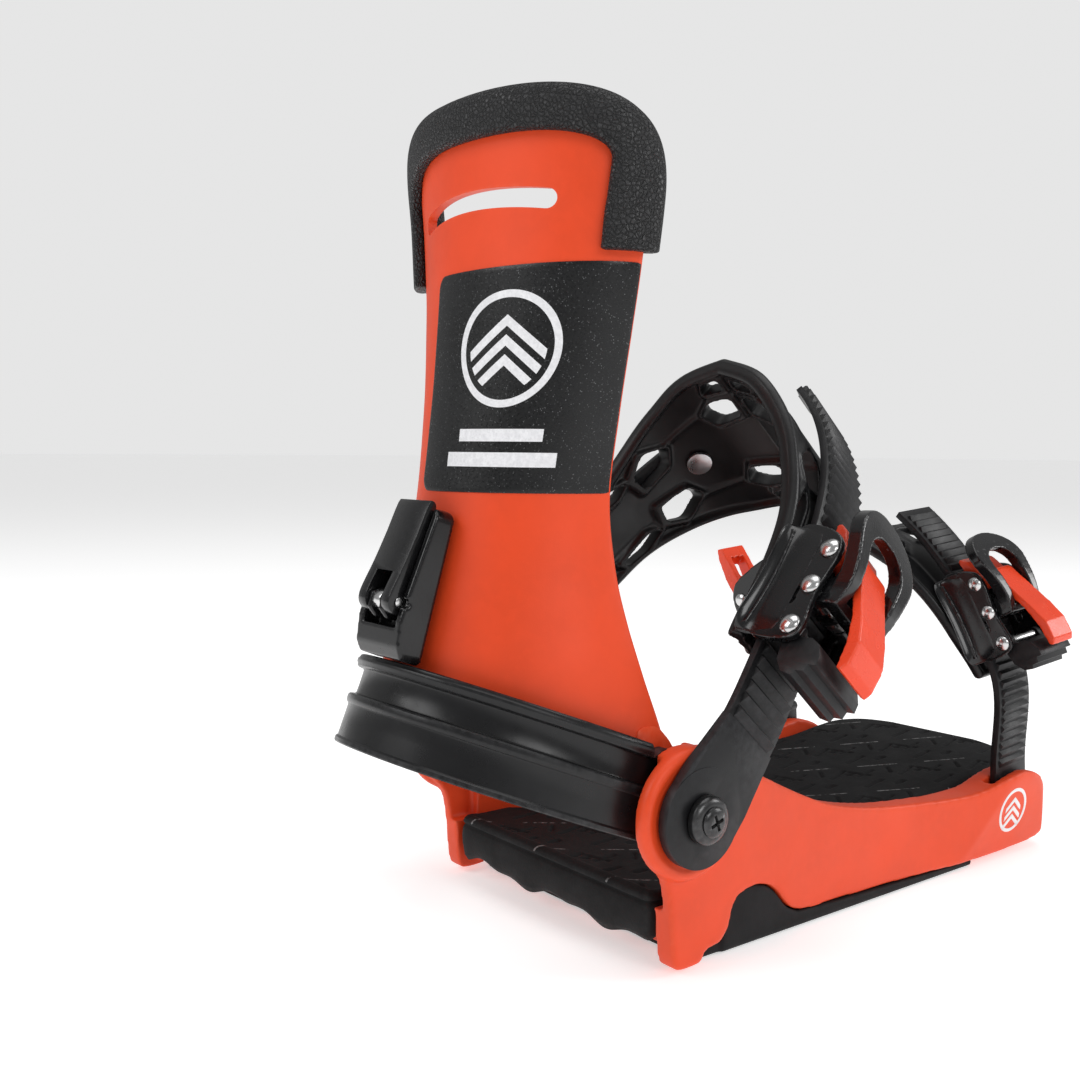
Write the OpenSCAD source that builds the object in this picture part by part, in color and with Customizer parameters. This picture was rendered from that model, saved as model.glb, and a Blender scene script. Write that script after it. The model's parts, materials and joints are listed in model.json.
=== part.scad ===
// Soft-boot snowboard strap binding, right foot.
// +X points to the outer (buckle) side, +Y to the toe, +Z up.
// The origin is the centre of the mounting disc on the plane of the board.

/* [Base] */
// Height of the heel pivot axis above the board
hub_z = 50.5; // [49:0.5:52]
// Distance of the heel pivot axis behind the disc centre
hub_y = 101; // [99:0.5:103]
// Radius of the round heel pivot boss
hub_r = 20.5; // [19:0.5:22]
// Thickness of the base floor
floor_t = 5.6; // [5:0.2:6]
// Thickness of the under-base gasket
gasket_t = 3.6; // [3:0.2:4]
// Height of the rail's lowest stretch
rail_z = 30; // [28:1:32]
// Radius of the mounting disc's flange
disc_r = 44; // [43:0.5:45]
// Bolt spacing of the mounting disc, both ways
bolt_spacing = 40; // [40:1:40]
// Radius of each bolt hole in the disc
bolt_hole_r = 3.25; // [3.1:0.05:3.4]

/* [Heel hoop] */
// Outer half width of the hoop at the pivots
hoop_w = 58; // [57.5:0.5:58.5]
// Depth of the hoop along its own tilted plane
hoop_d = 75; // [74:0.5:77]
// Tilt of the hoop, rising towards the back
hoop_tilt = 22; // [20:0.5:23]

/* [Highback] */
// Height of the top edge of the highback shell
back_top = 264.5; // [262:0.5:268]
// Wall thickness of the highback shell
back_t = 3.2; // [2.8:0.1:3.6]
// Thickness of the padded rim around the top
rim_t = 4.4; // [4:0.1:4.8]
// Half width of the vent slot
slot_w = 33.5; // [28:0.5:35]
// Height of the vent slot
slot_h = 6; // [5:0.5:8]

/* [Ankle strap] */
// Angle of the ankle strap's plane above the board
ankle_tilt = 48; // [46:1:50]
// Radius of the ankle ladder about the inner flex point
ankle_r = 121; // [120.6:0.1:121.4]
// Half width of the ankle ladder
ankle_lw = 12.5; // [12:0.1:12.8]
// Wall thickness of the ankle pad
ankle_pad_t = 4.2; // [3.6:0.1:4.4]

/* [Toe strap] */
// Angle of the toe strap's plane above the board
toe_tilt = 95; // [94:0.5:96]
// Radius of the toe ladder about the inner flex point
toe_r = 122.5; // [122.1:0.1:122.9]
// Size of the toe buckle against the ankle buckle
toe_k = 0.82; // [0.8:0.01:0.84]
// Wall thickness of the toe pad
toe_pad_t = 4; // [3.4:0.1:4.2]

/* [Hidden] */
$fn = 64;
orange = [0.86, 0.27, 0.14];
black = [0.09, 0.09, 0.1];
gloss = [0.05, 0.05, 0.06];
chrome = [0.8, 0.8, 0.82];

// ---------- curve helpers ----------
function lerp(a, b, t) = a + (b - a) * t;
// smooth curve through points, n steps for each span
function cat(a, b, c, d, t) = 0.5 * (2 * b + (c - a) * t + (2 * a - 5 * b + 4 * c - d) * t * t + (3 * b - a - 3 * c + d) * t * t * t);
function smooth(P, n = 5) = let (m = len(P)) concat([for (i = [0 : m - 2]) for (k = [0 : n - 1])
  cat(P[max(i - 1, 0)], P[i], P[i + 1], P[min(i + 2, m - 1)], k / n)], [P[m - 1]]);
function seg(T, v, i = 0) = (i >= len(T) - 2 || v < T[i + 1][0]) ? i : seg(T, v, i + 1);
// smooth look-up in a table of [key, value]
function tab(T, v) = let (i = seg(T, v), m = len(T), t = (v - T[i][0]) / (T[i + 1][0] - T[i][0]))
  v <= T[0][0] ? T[0][1] : v >= T[m - 1][0] ? T[m - 1][1] :
  lerp(T[i][1], T[i + 1][1], 0) * (1 - 3 * t * t + 2 * t * t * t) + T[i + 1][1] * (3 * t * t - 2 * t * t * t)
  + (t - 2 * t * t + t * t * t) * tslope(T, i) * (T[i + 1][0] - T[i][0])
  + (t * t * t - t * t) * tslope(T, i + 1) * (T[i + 1][0] - T[i][0]);
function tslope(T, i) = let (a = max(i - 1, 0), b = min(i + 1, len(T) - 1)) (T[b][1] - T[a][1]) / (T[b][0] - T[a][0]);
function rev(P) = [for (i = [len(P) - 1 : -1 : 0]) P[i]];
function unit(v) = v / norm(v);
module x_cyl(x0, x1, r, y, z, n = 64) { translate([x0, y, z]) rotate([0, 90, 0]) cylinder(h = x1 - x0, r = r, $fn = n); }
module both() { children(); mirror([1, 0, 0]) children(); }
module yz(x0, x1) { translate([x0, 0, 0]) rotate([90, 0, 90]) linear_extrude(x1 - x0) children(); }
module rbox(x, y, r) { translate([r, r]) minkowski_free(x - 2 * r, y - 2 * r, r); }
// rectangle with round corners, built without hull
module minkowski_free(x, y, r) {
  translate([-r, 0]) square([x + 2 * r, y]);
  translate([0, -r]) square([x, y + 2 * r]);
  for (i = [0, 1], j = [0, 1]) translate([i * x, j * y]) circle(r, $fn = 32);
}

// ---------- base ----------
gasket_top = gasket_t;
floor_top = gasket_t + floor_t;
rail_top = smooth([[-90, 66], [-76, 61], [-64, 55.5], [-45, 46.5], [-25, 38.5], [0, rail_z + 3], [28, rail_z], [50, rail_z - 1],
  [62, rail_z], [72, rail_z + 2.5], [84, rail_z + 4.5], [95, rail_z + 2], [104, 25], [109.5, 17]], 4);
rail_low = smooth([[110, 9], [104, 4.4], [90, 2.6], [60, 2.4], [20, 3], [-20, 4.2], [-40, 5.2], [-48, 8.4], [-55, 15.5], [-62, 19],
  [-71, 19.4], [-77.5, 16.5], [-80, 9.5], [-84, 5.4], [-91, 4.6], [-93, 1.6], [-102, 1.2], [-105, 5], [-106.5, 20], [-109, 31], [-116, 38.5]], 4);
function plan_out() = smooth([[55, -124], [61, -122], [62.2, -104], [61.5, -85], [59.4, -60], [57.6, -30], [57, 0], [58, 30], [61, 55],
  [64.4, 74], [65, 88], [63.5, 100], [58, 108.5], [50, 111]], 4);
function plan_in() = smooth([[46.5, 108], [49, 98], [50.4, 84], [50, 66], [49, 45], [48.6, 0], [49, -35], [52, -62], [54.2, -78], [54.2, -124]], 4);
module rail() {
  difference() {
    union() {
      intersection() {
        yz(40, 70) polygon(concat([[hub_y * -1, hub_z]], rail_top, rail_low));
        translate([0, 0, -1]) linear_extrude(90) polygon(concat(plan_out(), plan_in()));
      }
      // front half of the pivot boss, then its full outer disc
      intersection() {
        x_cyl(54.2, 61.2, hub_r, -hub_y, hub_z, 96);
        translate([50, -hub_y - 9, 0]) cube([20, 60, 100]);
      }
      x_cyl(61, 64.6, hub_r, -hub_y, hub_z, 96);
      translate([64.6, -hub_y, hub_z]) rotate([0, 90, 0]) cylinder(h = 1.4, r1 = hub_r, r2 = hub_r - 1.6, $fn = 96);
    }
    // bevel that narrows the lower outer face
    translate([65.4, -70, 34]) rotate([0, 10, 0]) translate([0, 0, -60]) cube([20, 200, 60]);
    // seat of the strap end
    x_cyl(65.2, 67, 17.2, -hub_y, hub_z, 96);
    x_cyl(50, 70, 5.3, -hub_y, hub_z);
    // socket of the hoop's end
    translate([50, -hub_y - 22, 20]) cube([8.1, 26.5, 60]);
    // fork for the toe strap
    translate([56, 68, 13.6]) cube([4.6, 50, 40]);
    x_cyl(45, 62.4, 2.6, toe_py, toe_pz, 48);
    // hoop screw holes
    for (p = hoop_pts) x_cyl(50, 61.9, 2.1, p[0], p[1], 32);
  }
}
toe_py = 84;
toe_pz = 22;
hoop_pts = [[-105, 61.6], [-106.4, 41.4]];
module base_frame() {
  color(orange) difference() {
    union() {
      both() rail();
      difference() {
        translate([0, 0, gasket_top + 0.1]) linear_extrude(floor_t) polygon(concat(smooth([[50, -82], [49.5, -60], [49, 0], [50.5, 70], [47, 100], [30, 107], [0, 108.5]], 4),
          rev([for (p = smooth([[50, -82], [49.5, -60], [49, 0], [50.5, 70], [47, 100], [30, 107], [0, 108.5]], 4)) [-p[0], p[1]]])));
        translate([0, 0, -1]) cylinder(h = 20, r = disc_r - 6, $fn = 96);
        translate([0, 0, gasket_top + 2.6]) cylinder(h = 20, r = disc_r + 0.3, $fn = 96);
      }
      // heel bridge between the two feet
      translate([-54.5, -97, 4]) cube([109, 17, 5.2]);
    }
    // clearance for the round end of each heel pad corner
    for (x = [-30, 0, 30]) translate([x, -70, 0]) cylinder(h = 30, r = 4.5, $fn = 32);
  }
}
module base_gasket() {
  color(black) {
    difference() {
      union() {
        linear_extrude(gasket_top) polygon(concat(smooth([[53, -92], [57, -88], [57, -76], [54.5, -54], [48.2, -44], [48.1, 0], [48.1, 45], [48.4, 66], [48.8, 84], [47.6, 98], [45.6, 106], [34, 111], [0, 112]], 4),
          rev([for (p = smooth([[53, -92], [57, -88], [57, -76], [54.5, -54], [48.2, -44], [48.1, 0], [48.1, 45], [48.4, 66], [48.8, 84], [47.6, 98], [45.6, 106], [34, 111], [0, 112]], 4)) [-p[0], p[1]]])));
        // raised shock pads that fill the arch in each rail
        both() yz(50.4, 58.2) polygon(concat([[-79.4, 0]], smooth([[-79.4, 9.5], [-77, 16.2], [-71, 19], [-62, 18.6], [-55.5, 15.2], [-48.6, 8.1], [-42.5, 5]], 4), [[-20, 3.8], [20, 2.6], [60, 2], [60, 0]]));
      }
      translate([0, 0, -1]) cylinder(h = 20, r = disc_r - 4, $fn = 96);
      translate([-49.6, -84, gasket_top]) cube([99.2, 200, 20]);
    }
  }
}
module mounting_disc() {
  color(black) difference() {
    union() {
      cylinder(h = 7.2, r = disc_r - 6.3, $fn = 96);
      translate([0, 0, gasket_top + 2.9]) cylinder(h = 3.6, r = disc_r, $fn = 96);
    }
    for (i = [-1, 1], j = [-1, 1]) translate([i * bolt_spacing / 2, j * bolt_spacing / 2, -1]) {
      cylinder(h = 20, r = bolt_hole_r, $fn = 48);
      translate([0, 0, 6]) cylinder(h = 20, r = 6, $fn = 48);
    }
    translate([0, 0, 6.4]) cylinder(h = 10, r = 10, $fn = 48);
    for (a = [0 : 30 : 330]) rotate(a) translate([32, 0, 8]) cylinder(h = 10, r = 3, $fn = 24);
    for (a = [0 : 7.5 : 352.5]) rotate(a) translate([disc_r, -1, 7.6]) cube([3, 2, 10], center = false);
  }
}
module heel_pad() {
  color(black) union() {
    translate([-49, -100, floor_top + 0.4]) linear_extrude(12.6) rbox(98, 55, 5);
    translate([-52.5, -106.5, floor_top + 0.4]) linear_extrude(12.6) rbox(105, 24, 3);
    difference() {
      translate([-52.5, -106.5, 6.4]) linear_extrude(17) rbox(105, 9, 3);
      for (i = [-2 : 2]) translate([i * 22 + 8, -110, 3]) rotate([-90, 0, 0]) cylinder(h = 12.6, r = 6, $fn = 32);
      translate([-60, -97.4, 3]) cube([120, 20, 6.6]);
    }
  }
}
module toe_footbed() {
  half = smooth([[47.5, -44], [48.2, 0], [48.4, 40], [48.6, 62], [47, 74], [47, 92], [45, 104], [36, 113.5], [18, 118], [0, 119]], 4);
  color(black) difference() {
    union() {
      translate([0, 0, floor_top + 2.2]) linear_extrude(13) polygon(concat(half, rev([for (p = half) [-p[0], p[1]]])));
      // toe ramp
      intersection() {
        translate([0, 0, floor_top + 2]) linear_extrude(30) polygon(concat(half, rev([for (p = half) [-p[0], p[1]]])));
        yz(-60, 60) polygon([[0, floor_top + 8], [125, floor_top + 8], [125, floor_top + 27], [100, floor_top + 24.6], [60, floor_top + 20], [20, floor_top + 15.8], [0, floor_top + 14]]);
      }
    }
    cylinder(h = floor_top + 7, r = disc_r - 2, $fn = 96);
  }
}

// ---------- heel hoop ----------
function hoop_pt(w, d, a, p = 2.12) = [w * (cos(a) < 0 ? -1 : 1) * pow(abs(cos(a)), 2 / p), -5 - (d - 5) * pow(abs(sin(a)), 2 / p)];
function hoop_line(w, d) = concat([[w, 16]], [for (a = [0 : 2.5 : 180]) hoop_pt(w, d, a)], [[-w, 16]]);
module hoop_ring(v0, v1, o, i) {
  translate([0, 0, v0]) linear_extrude(v1 - v0) polygon(concat(hoop_line(hoop_w - o, hoop_d - o), rev(hoop_line(hoop_w - i, hoop_d - i))));
}
module heel_hoop() {
  color(black) difference() {
    translate([0, -104, 56]) rotate([-hoop_tilt, 0, 0]) {
      hoop_ring(-16.4, 12.6, 2.6, 4.6);
      hoop_ring(8.4, 12.6, 0, 4.6);
      hoop_ring(10, 11.2, -0.5, 4.6);
      hoop_ring(-2.2, -0.4, 0.2, 4.6);
      hoop_ring(-3.6, -1.2, 0.6, 4.6);
      hoop_ring(-14.6, -3.4, 1.2, 4.6);
      hoop_ring(-16.4, -14.4, 0.6, 4.6);
    }
    // the ends are thin tongues inside the pivot bosses
    translate([-80, -hub_y + 4.2, 0]) cube([160, 60, 110]);
    both() {
      translate([57.8, -hub_y - 9.6, 0]) cube([20, 60, 110]);
      x_cyl(50, 60, 7, -hub_y, hub_z);
      difference() { translate([50, -hub_y - 9.6, 0]) cube([20, 60, 110]); x_cyl(40, 80, hub_r - 0.6, -hub_y, hub_z, 96); }
      for (p = hoop_pts) x_cyl(50, 60, 2.1, p[0], p[1], 32);
    }
  }
}
module hoop_screws() {
  color(gloss) both() for (p = hoop_pts) { x_cyl(53.5, 61.5, 2, p[0], p[1], 32); }
}

// ---------- highback ----------
T_w = [[40, 52.4], [72, 52.4], [92, 49.4], [108, 45.4], [124, 42], [145, 40.2], [171, 43.4], [195, 47.2], [216, 50.2], [240, 52], [290, 52]];
T_e = [[40, -93], [60, -97.5], [72, -101], [92, -107], [110, -110.4], [124, -112], [145, -113], [171, -112.2], [216, -110], [240, -108.5], [290, -107.5]];
T_b = [[40, -165.2], [80, -164.8], [97, -161.6], [110, -158.4], [125, -154.6], [140, -151.2], [153, -148.6], [166, -146.4], [180, -144.2], [197, -142.2], [214, -140.8], [230, -140.4], [250, -141.2], [290, -143.5]];
// the inner side is wider and flatter towards the top
T_mw = [[40, 52.4], [72, 52.4], [92, 49.4], [108, 45.4], [124, 42], [145, 40.2], [171, 44.2], [195, 49.5], [216, 54], [240, 57.5], [255, 59.5], [290, 60]];
T_me = [[40, -93], [60, -97.5], [72, -101], [92, -107], [110, -110.4], [124, -112], [145, -113], [171, -117.1], [195, -119.5], [216, -119.2], [240, -118.6], [290, -119]];
T_mk = [[40, 0], [145, 0], [171, 0.35], [195, 0.75], [216, 1], [290, 1]];
// point on the outer face at angle f (0 outer edge, 90 back centre, 180 inner edge) and height z
function hb(f, z) = f <= 90 ? [tab(T_w, z) * cos(f), tab(T_e, z) - (tab(T_e, z) - tab(T_b, z)) * sin(f), z] :
  let (g = (f - 90) / 90, k = tab(T_mk, z), e = tab(T_me, z)) [-tab(T_mw, z) * lerp(sin(f - 90), g, k), e - (e - tab(T_b, z)) * lerp(cos(f - 90), 1 - g * g, k), z];
function hbn(f, z) = unit(cross(hb(f, z + 0.5) - hb(f, z - 0.5), hb(f + 0.5, z) - hb(f - 0.5, z)));
function hbo(f, z, o) = hb(f, z) + o * hbn(f, z);
hb_c = back_top - 31.5;
function hb_top(f) = hb_c + 31.5 * pow(max(0, 1 - pow(abs(1 - f / 90), 3)), 1 / 3);
function hb_low(f) = 60 + 19 * pow(abs(sin(f)), 1.2);
// closed sheet between two offsets over a grid of [angle, height] cells
module sheet(G, o0, o1) {
  nu = len(G); nv = len(G[0]); m = nu * nv;
  P = concat([for (r = G) for (c = r) hbo(c[0], c[1], o1)], [for (r = G) for (c = r) hbo(c[0], c[1], o0)]);
  F = concat(
    [for (i = [0 : nu - 2], j = [0 : nv - 2]) each [[i * nv + j, (i + 1) * nv + j, (i + 1) * nv + j + 1], [i * nv + j, (i + 1) * nv + j + 1, i * nv + j + 1]]],
    [for (i = [0 : nu - 2], j = [0 : nv - 2]) each [[m + i * nv + j, m + (i + 1) * nv + j + 1, m + (i + 1) * nv + j], [m + i * nv + j, m + i * nv + j + 1, m + (i + 1) * nv + j + 1]]],
    [for (i = [0 : nu - 2]) each [[i * nv, m + i * nv, m + (i + 1) * nv], [i * nv, m + (i + 1) * nv, (i + 1) * nv]]],
    [for (i = [0 : nu - 2]) each [[i * nv + nv - 1, m + (i + 1) * nv + nv - 1, m + i * nv + nv - 1], [i * nv + nv - 1, (i + 1) * nv + nv - 1, m + (i + 1) * nv + nv - 1]]],
    [for (j = [0 : nv - 2]) each [[j, j + 1, m + j + 1], [j, m + j + 1, m + j]]],
    [for (j = [0 : nv - 2]) each [[(nu - 1) * nv + j, m + (nu - 1) * nv + j + 1, (nu - 1) * nv + j + 1], [(nu - 1) * nv + j, m + (nu - 1) * nv + j, m + (nu - 1) * nv + j + 1]]]);
  polyhedron(P, F, convexity = 6);
}
hb_f = [for (i = [0 : 26]) 90 - 90 * (i <= 13 ? 1 : -1) * pow(abs(1 - i / 13), 0.85)];
module back_slot(h, y0, y1, w = slot_w) {
  R = 190;
  translate([2.2, y1, 236.8 - R]) rotate([90, 0, 0]) linear_extrude(y1 - y0) {
    intersection() {
      difference() { circle(R + h / 2, $fn = 360); circle(R - h / 2, $fn = 360); }
      translate([-w + h / 2, R - 30]) square([2 * w - h, 60]);
    }
    for (s = [-1, 1]) translate([s * (w - h / 2), sqrt(R * R - pow(w - h / 2, 2))]) circle(h / 2, $fn = 32);
  }
}
module highback_shell() {
  color(orange) difference() {
    union() {
      sheet([for (f = hb_f) [for (k = [0 : 22]) [f, lerp(hb_low(f), hb_top(f), k / 22)]]], -back_t, 0);
      both() {
        x_cyl(50.2, 53, 11.5, -hub_y, hub_z, 64);
        yz(50.2, 52.2) polygon([[-112, 52], [-90, 52], [-94, 62], [-98, 70], [-112, 74]]);
      }
    }
    both() x_cyl(45, 60, 5.06, -hub_y, hub_z);
    back_slot(slot_h, -170, -100);
    // slot for the lean clamp
    translate([0, -140, 104]) rotate([90 + lean_a, 0, 0]) translate([0, 0, -20]) linear_extrude(60) { translate([-2.6, 0]) square([5.2, 34]); circle(2.6, $fn = 32); translate([0, 34]) circle(2.6, $fn = 32); }
  }
}
// outline of the padded rim in angle and height, with the inward direction
function rim_e(q) = q < 0.12 ? [0, lerp(219.4, hb_c, q / 0.12)] : q > 0.88 ? [180, lerp(217, hb_c, (1 - q) / 0.12)] :
  let (t = 180 * (q - 0.12) / 0.76, c = cos(t)) [90 - 90 * (c < 0 ? -1 : 1) * pow(abs(c), 2 / 3), hb_c + 31.5 * pow(max(0, sin(t)), 2 / 3)];
function spd(f, z) = norm(hb(f + 0.5, z) - hb(f - 0.5, z));
// how far the rim reaches inwards along its length
rim_dep = [[0, 13.6], [0.12, 13.6], [0.3, 10.6], [0.45, 9.8], [0.6, 10.6], [0.75, 13], [0.88, 15], [1, 15]];
function rim_in(q) = let (e = rim_e(q), a = rim_e(max(0, q - 0.012)), b = rim_e(min(1, q + 0.012)), s = spd(e[0], e[1]),
  t = unit([(b[0] - a[0]) * s, b[1] - a[1]])) [t[1] / s, -t[0]];
function rim_pt(q, b, n) = let (e = rim_e(q), d = rim_in(q), c = b < 1 ? b : b * tab(rim_dep, q) / 22) hbo(e[0] + d[0] * c, e[1] + d[1] * c, n);
rim_sec = [[22, 0.4], [22.4, 2], [20, rim_t - 0.6], [15, rim_t], [8, rim_t], [1.2, rim_t], [-1.8, rim_t - 1], [-3.3, 1], [-3.5, -back_t / 2], [-3.3, -back_t - 1.4], [-1.6, -back_t - 3],
  [2, -back_t - 3.8], [9, -back_t - 3.8], [14, -back_t - 3.2], [16, -back_t - 2], [15.6, -back_t - 0.4], [7, -back_t - 0.4], [-0.7, -back_t - 0.4], [-0.7, 0.4], [7, 0.4], [15, 0.4]];
module highback_rim_pad() {
  n = 44; k = len(rim_sec);
  P = [for (i = [0 : n]) for (s = rim_sec) rim_pt(i / n, s[0], s[1])];
  F = concat([for (i = [0 : n - 1], j = [0 : k - 1]) each [[i * k + j, (i + 1) * k + j, (i + 1) * k + (j + 1) % k], [i * k + j, (i + 1) * k + (j + 1) % k, i * k + (j + 1) % k]]],
    [[for (j = [0 : k - 1]) j]], [[for (j = [k - 1 : -1 : 0]) n * k + j]]);
  color(black) polyhedron(P, [for (f = F) rev(f)], convexity = 8);
}
module highback_panel() {
  color(gloss) sheet([for (i = [0 : 18]) let (e = [2.4, 0.7, 0][min(min(i, 18 - i), 2)]) [for (k = [0 : 10]) let (z = lerp(147 + e, 215.5 - e, k / 10)) [lerp(2.5, 107 + 9 * tab(T_mk, z), i / 18), z]]], 0.18, 0.42);
}

// ---------- pivot hardware ----------
module hub_barrel_nuts() {
  color(gloss) both() difference() {
    union() { x_cyl(46.6, 48.6, 9, -hub_y, hub_z); x_cyl(48.4, 69.8, 5, -hub_y, hub_z); }
    x_cyl(52, 75, 2.95, -hub_y, hub_z, 48);
    x_cyl(46, 47.4, 3, -hub_y, hub_z, 6);
  }
}
module hub_washers() {
  color(gloss) both() translate([70.1, -hub_y, hub_z]) rotate([0, 90, 0]) difference() {
    rotate_extrude($fn = 96) polygon([[3.2, 0], [7.2, 0], [7.5, 0.4], [7.5, 2.2], [7, 3], [6, 3.6], [5, 3.8], [3.2, 3.8]]);
  }
}
module cross_recess(d, w) { for (a = [0, 90]) rotate(a) translate([-w, -0.55, 0]) cube([2 * w, 1.1, d]); }
module hub_screws() {
  color(black) both() translate([0, -hub_y, hub_z]) rotate([0, 90, 0]) difference() {
    union() {
      translate([0, 0, 56]) cylinder(h = 18.2, r = 2.9, $fn = 48);
      translate([0, 0, 73.9]) rotate_extrude($fn = 64) polygon([[0, 0], [4.6, 0], [4.7, 0.5], [4, 1.1], [2.6, 1.5], [0, 1.6]]);
    }
    translate([0, 0, 73.4]) rotate(20) cross_recess(4, 2.6);
  }
}

// ---------- forward lean adjuster ----------
lean_o = [0, -160, 115];
lean_a = 16;
lean_p = [-9, -3.4];
module lean_f() { translate(lean_o) rotate([-lean_a, 0, 0]) children(); }
// local: x across, -y out from the back, z up along the back
module lean_block() {
  color(gloss) difference() {
    union() {
      lean_f() difference() {
        intersection() {
          translate([-12.5, 0, 0]) rotate([90, 0, 90]) linear_extrude(25) polygon([[2, -22], [-5, -22], [-8.2, -17], [-9.4, -9], [-8.6, 0], [-5.2, 27], [2, 27]]);
          translate([0, 10, -22]) rotate([90, 0, 0]) linear_extrude(40) translate([-12.5, 0]) rbox(25, 49, 4);
        }
        translate([-9.5, -23, -11]) cube([19, 20, 60]);
      }
      // lugs for the lever pin
      lean_f() for (s = [-1, 1]) translate([s * 3.4 - 1, 0, 0]) rotate([90, 0, 90]) linear_extrude(2) polygon([[-2.6, -9], [-9, -9], [-12, -6.6], [-12, -1.8], [-9, 0], [-2.6, 1.5]]);
      // foot that stands on the hoop
      translate([0, -104, 56]) rotate([-hoop_tilt, 0, 0]) translate([-9.5, -77.6, 13]) cube([19, 11.2, 4.6]);
    }
    // nothing of it hangs below the hoop's lip
    translate([0, -104, 56]) rotate([-hoop_tilt, 0, 0]) translate([-40, -110, -40]) cube([80, 100, 52.98]);
    lean_f() {
      // hollow back that clears the curved shell
      translate([0, 42.9, -60]) cylinder(h = 120, r = 43.4, $fn = 128);
      translate([-20, lean_p[0], lean_p[1]]) rotate([0, 90, 0]) cylinder(h = 40, r = 1.53, $fn = 32);
      translate([0, 5, 12]) rotate([90, 0, 0]) cylinder(h = 20, r = 2.4, $fn = 32);
    }
  }
}
module lean_lever() {
  color(gloss) lean_f() difference() {
    union() {
      translate([-8.9, 0, 0]) rotate([90, 0, 90]) linear_extrude(17.8) polygon(smooth([[-6, -2], [-6, 4], [-5, 14], [-4, 23], [-4.2, 27.4], [-5.6, 28.8], [-7, 27.6], [-8.6, 18], [-10.6, 8], [-12.6, 0], [-13, -3.4], [-12, -6], [-9, -7], [-6.4, -5.6], [-6, -2]], 3));
      translate([-8.9, lean_p[0], lean_p[1]]) rotate([0, 90, 0]) cylinder(h = 17.8, r = 4, $fn = 48);
    }
    // fork that straddles the lug
    translate([-4.7, lean_p[0], lean_p[1]]) rotate([0, 90, 0]) cylinder(h = 9.4, r = 9.1, $fn = 64);
    translate([-20, lean_p[0], lean_p[1]]) rotate([0, 90, 0]) cylinder(h = 40, r = 1.53, $fn = 32);
    
  }
}
module lean_lever_pin() { color(chrome) lean_f() { translate([-9, lean_p[0], lean_p[1]]) rotate([0, 90, 0]) cylinder(h = 18, r = 1.5, $fn = 32); translate([-2.2, lean_p[0], lean_p[1]]) rotate([0, 90, 0]) cylinder(h = 4.4, r = 3, $fn = 48); } }
module lean_clamp_plate() { color(chrome) lean_f() translate([0, 8.2, 12]) rotate([90, 0, 0]) { difference() { cylinder(h = 1.6, r = 7, $fn = 48); translate([0, 0, -1]) cylinder(h = 4, r = 2.35, $fn = 32); } } }
module lean_clamp_screw() { color(chrome) lean_f() translate([0, 8.2, 12]) rotate([90, 0, 0]) { translate([0, 0, -1]) cylinder(h = 12, r = 2.3, $fn = 32); translate([0, 0, -2.1]) cylinder(h = 2.05, r = 4, $fn = 48); } }

// ---------- strap planes ----------
// local: x as X, y along the strap's rise, z square to the strap's plane (towards the heel)
module ankle_f() { translate([0, -hub_y, hub_z]) rotate([ankle_tilt, 0, 0]) children(); }
module toe_f() { translate([0, toe_py, toe_pz]) rotate([toe_tilt, 0, 0]) children(); }
aF = [-57.5, 72];
tF = [-58.2, 17];
function herm(P0, T0, P1, T1, t) = (2 * t * t * t - 3 * t * t + 1) * P0 + (t * t * t - 2 * t * t + t) * T0 + (3 * t * t - 2 * t * t * t) * P1 + (t * t * t - t * t) * T1;
// ladder centre line: straight root, blend, then an arc about the flex point; u runs 0..3
function a_arc(a) = aF + ankle_r * [cos(a), sin(a)];
function a_path(u) = u < 1 ? [68.2, 26 * u] : u < 2 ? herm([68.2, 26], [0, 48], a_arc(0), [0, 48], u - 1) : a_arc((u - 2) * 57);
function t_arc(a) = tF + toe_r * [cos(a), sin(a)];
t_a0 = 17.5;
function t_path(u) = u < 1 ? [58.2, 14 * u] : u < 2 ? herm([58.2, 14], [0, 40], t_arc(t_a0), 40 * [-sin(t_a0), cos(t_a0)], u - 1) : t_arc(t_a0 + (u - 2) * 35);
function path_n(P, i) = let (d = unit(P[min(i + 1, len(P) - 1)] - P[max(i - 1, 0)])) [d[1], -d[0]];
function ladder_line(P, o) = [for (i = [0 : len(P) - 1]) P[i] + o * path_n(P, i)];
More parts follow.
